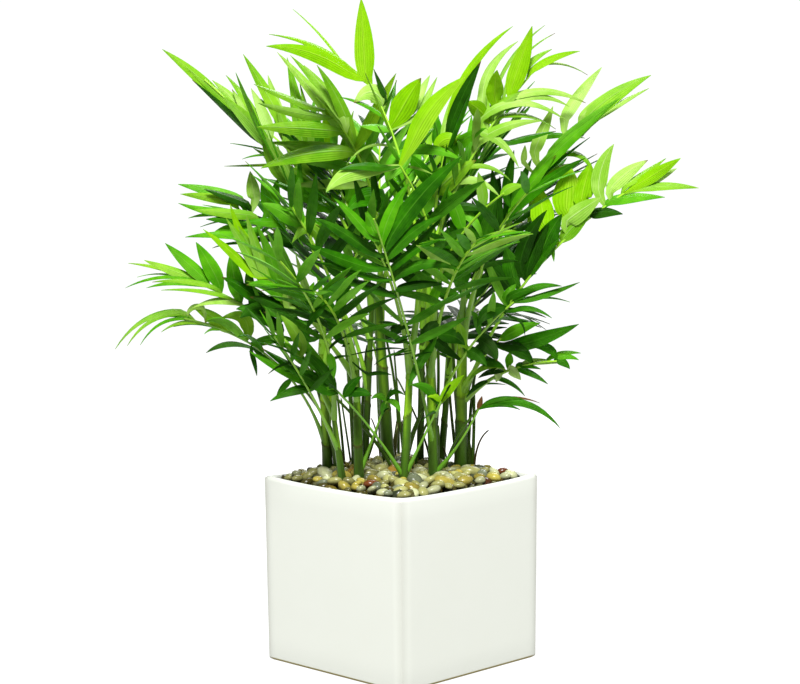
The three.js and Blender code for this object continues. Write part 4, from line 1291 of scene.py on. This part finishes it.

# pebbles lie in layers over dark potting mix, heaped a little in the middle; spaced and stemSpace
# are shares of their size, and the lower layers are darker, a painted shade in the gaps between
# the top pebbles
pebbles = {"small": 4.6, "large": 9.4, "half": 82, "bed": 169.5, "heap": 5.5, "heapEdge": 6,
           "seed": 3, "layers": 3, "layerHeight": 4.2, "sunk": 9, "tries": 9000, "spaced": 0.8,
           "stemSpace": 0.55, "axes": (1.15, 0.85, 0.62), "vary": (0.88, 1.12), "tilt": 0.35,
           "lump": 0.07, "lumpWaves": 1.3, "lumpSpread": 1.7, "jitter": 1, "tone": 0.8,
           "toneCurve": 1.2, "paintedGapShade": 0.9, "smooth": 80, "patches": 150.0, "patchShare": 0.25,
           "toneShare": 0.75, "roughness": 0.26, "specular": 0.3, "sheen": (1, 1, 1),
           "relief": 0.25, "depth": 0.0004}
pebbleTints = {
    "cream": {"light": (0.31, 0.31, 0.105), "dark": (0.035, 0.03, 0.005), "odds": 0.45},
    "straw": {"light": (0.35, 0.30, 0.05), "dark": (0.045, 0.03, 0.003), "odds": 0.23},
    "ochre": {"light": (0.33, 0.20, 0.025), "dark": (0.07, 0.035, 0.005), "odds": 0.03},
    "grey": {"light": (0.15, 0.17, 0.10), "dark": (0.02, 0.025, 0.012), "odds": 0.08},
    "white": {"light": (0.44, 0.46, 0.25), "dark": (0.07, 0.07, 0.03), "odds": 0.19},
    "rust": {"light": (0.11, 0.03, 0.007), "dark": (0.02, 0.007, 0.001), "odds": 0.02},
}


def pebbleTemplate():
    bm = bmesh.new()
    bmesh.ops.create_icosphere(bm, subdivisions=2, radius=1)
    return templateArrays(bm)


def makePebbleMaterial(name, tint):
    material, tree, shader = newMaterial("pebble_" + name)
    patch = mottleValue(tree, pebbles["patches"])
    # tone holds each pebble's own random tone and, on the lower layers, painted shade
    tone = mathNode(tree, "MULTIPLY", attributeValue(tree, "tone"), pebbles["toneShare"])
    share = mathNode(tree, "MULTIPLY", patch, pebbles["patchShare"])
    share = mathNode(tree, "ADD", share, tone, clamp=True)
    colour = mixColour(tree, share, tint["light"], tint["dark"])
    finishShader(tree, shader, colour, patch, pebbles)
    return material


# a tumbled pebble: the template with uneven axes, turned and tilted, with soft lumps
def pebblePoints(verts, size, dice):
    axes = size * np.array(pebbles["axes"]) * dice.uniform(*pebbles["vary"], 3)
    spin = Matrix.Rotation(dice.uniform(0, 6.28), 3, "Z")
    spin = spin @ Matrix.Rotation(dice.normal(0, pebbles["tilt"]), 3, "X")
    spin = spin @ Matrix.Rotation(dice.normal(0, pebbles["tilt"]), 3, "Y")
    lumps = dice.normal(0, 1, (3, 3))
    waves = np.sin(verts @ lumps * pebbles["lumpWaves"]).sum(1)
    swell = 1 + pebbles["lump"] * waves / pebbles["lumpSpread"]
    return (verts * swell[:, None] * axes) @ np.array(spin).T


def makePebbles():
    dice = np.random.default_rng(pebbles["seed"])
    shape = pebbleTemplate()
    verts = shape["verts"]
    half, names = pebbles["half"], list(pebbleTints)
    odds = [tint["odds"] for tint in pebbleTints.values()]
    feet = np.array([spec["foot"] for spec in stems.values()], float)
    feet = feet @ plantTurn[:2, :2].T  # into the pot's own square
    girth = np.array([spec["radius"] for spec in stems.values()])
    places, tones = {name: [] for name in names}, {name: [] for name in names}
    for level in range(pebbles["layers"]):
        layer = []
        for attempt in range(pebbles["tries"]):
            size = dice.uniform(pebbles["small"], pebbles["large"])
            x, y = dice.uniform(-1, 1, 2) * (half - size)
            if any((x - a) ** 2 + (y - b) ** 2 < ((size + c) * pebbles["spaced"]) ** 2
                   for a, b, c in layer):
                continue
            gap = np.hypot(feet[:, 0] - x, feet[:, 1] - y) - girth
            if gap.min() < size * pebbles["stemSpace"]:
                continue
            layer.append((x, y, size))
            middle = max(0, 1 - (max(abs(x), abs(y)) / half) ** pebbles["heapEdge"])
            height = pebbles["bed"] - pebbles["sunk"] + level * pebbles["layerHeight"]
            height += pebbles["heap"] * middle + dice.uniform(-pebbles["jitter"], pebbles["jitter"])
            name = names[dice.choice(len(names), p=odds)]
            point = pebblePoints(verts, size, dice) + (x, y, height)
            tone = dice.uniform(0, pebbles["tone"]) ** pebbles["toneCurve"]
            # painted shade: the pebbles of the lower layers are darkened, as shade between the top
            # ones
            tone += pebbles["paintedGapShade"] * (level < pebbles["layers"] - 1)
            places[name].append(point @ plantTurn)  # back into the plant's square
            tones[name].append(np.full(len(verts), tone))
    for name in names:
        piece = copiesObject("pebbles_" + name, shape, places[name], {"tone": tones[name]},
                             smoothAngle=pebbles["smooth"])
        piece.data.materials.append(makePebbleMaterial(name, pebbleTints[name]))
        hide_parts("pebbles")
        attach(piece, "root")
    print("pebbles made:", sum(len(batch) for batch in places.values()))


makePebbles()

# dark potting mix under the pebbles, in metres, with fine grain
soil = {"half": 0.0825, "cells": 60, "height": 0.158, "grain": 0.0008, "seed": 5, "patches": 200.0,
        "light": (0.03, 0.02, 0.012), "dark": (0.008, 0.006, 0.004), "roughness": 0.9}


def makeSoil():
    bm = bmesh.new()
    bmesh.ops.create_grid(bm, x_segments=soil["cells"], y_segments=soil["cells"], size=soil["half"])
    dice = np.random.default_rng(soil["seed"])
    for v in bm.verts:
        v.co.z = soil["height"] + float(dice.uniform(-soil["grain"], soil["grain"]))
    piece = bmeshObject("potting_mix", bm)
    piece.data.shade_smooth()
    material, tree, shader = newMaterial("potting_mix")
    patch = mottleValue(tree, soil["patches"])
    setSocket(tree, shader.inputs["Base Color"], mixColour(tree, patch, soil["light"], soil["dark"]))
    shader.inputs["Roughness"].default_value = soil["roughness"]
    piece.data.materials.append(material)
    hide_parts("pebbles")
    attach(piece, "root")


makeSoil()
print("potting mix made")

# white studio: the floor glows more from near the plant to far, up to the white of the backdrop
studio = {"floor": 1.3, "white": (0.16, 0.16, 0.16), "roughness": 0.6, "specular": 0.1,
          "glow": (0.84, 0.84, 0.84), "farGlow": (1.05, 1.05, 1.05), "near": 0.3, "far": 1.1,
          "backdrop": 1.05, "sky": 0.25}
# name, place in the plant's own square, the height aimed at, size and power
lights = (
    ("key", (-0.075, -2.175, 3.15), 0.4, 0.9, 325.0),
    ("side", (-2.6, -0.9, 1.0), 0.3, 1.6, 8.0),
    ("side", (2.6, -0.9, 1.0), 0.3, 1.6, 8.0),
    ("back", (0.5, 2.4, 2.0), 0.2, 1.6, 60.0),
)


def makeFloor():
    bm = bmesh.new()
    bmesh.ops.create_grid(bm, x_segments=8, y_segments=8, size=studio["floor"])
    piece = bmeshObject("floor", bm)
    material, tree, shader = newMaterial("floor")
    distance = tree.nodes.new("ShaderNodeVectorMath")
    distance.operation = "LENGTH"
    tree.links.new(objectPlace(tree), distance.inputs[0])
    far = rampValue(tree, distance.outputs["Value"], studio["near"], studio["far"])
    glow = mixColour(tree, far, studio["glow"], studio["farGlow"])
    for label, value in (("Base Color", studio["white"]), ("Roughness", studio["roughness"]),
                         ("Specular IOR Level", studio["specular"]), ("Emission Color", glow),
                         ("Emission Strength", 1)):
        setSocket(tree, shader.inputs[label], value)
    piece.data.materials.append(material)


# the camera sees a white backdrop, and the plant is lit by a dimmer sky
def makeWorld():
    world = bpy.data.worlds.new("studio")
    bpy.context.scene.world = world
    world.use_nodes = True
    tree = world.node_tree
    sky = tree.nodes["Background"]
    backdrop = tree.nodes.new("ShaderNodeBackground")
    for node, strength in ((sky, studio["sky"]), (backdrop, studio["backdrop"])):
        node.inputs["Color"].default_value = (1, 1, 1, 1)
        node.inputs["Strength"].default_value = strength
    ray = tree.nodes.new("ShaderNodeLightPath")
    blend = tree.nodes.new("ShaderNodeMixShader")
    tree.links.new(ray.outputs["Is Camera Ray"], blend.inputs[0])
    tree.links.new(sky.outputs[0], blend.inputs[1])
    tree.links.new(backdrop.outputs[0], blend.inputs[2])
    tree.links.new(blend.outputs[0], tree.nodes["World Output"].inputs["Surface"])


def addLight(name, place, aim, size, power):
    data = bpy.data.lights.new(name, "AREA")
    data.energy, data.size = power, size
    lamp = linkPiece(name, data)
    place = Matrix.Rotation(plant["turn"], 3, "Z") @ Vector(place)
    lamp.location = place
    lamp.rotation_mode = "QUATERNION"
    lamp.rotation_quaternion = (Vector((0, 0, aim)) - place).to_track_quat("-Z", "Y")


makeFloor()
makeWorld()
for row in lights:
    addLight(*row)
bpy.context.scene.view_settings.view_transform = "Standard"
print("studio made")

print("scene made")
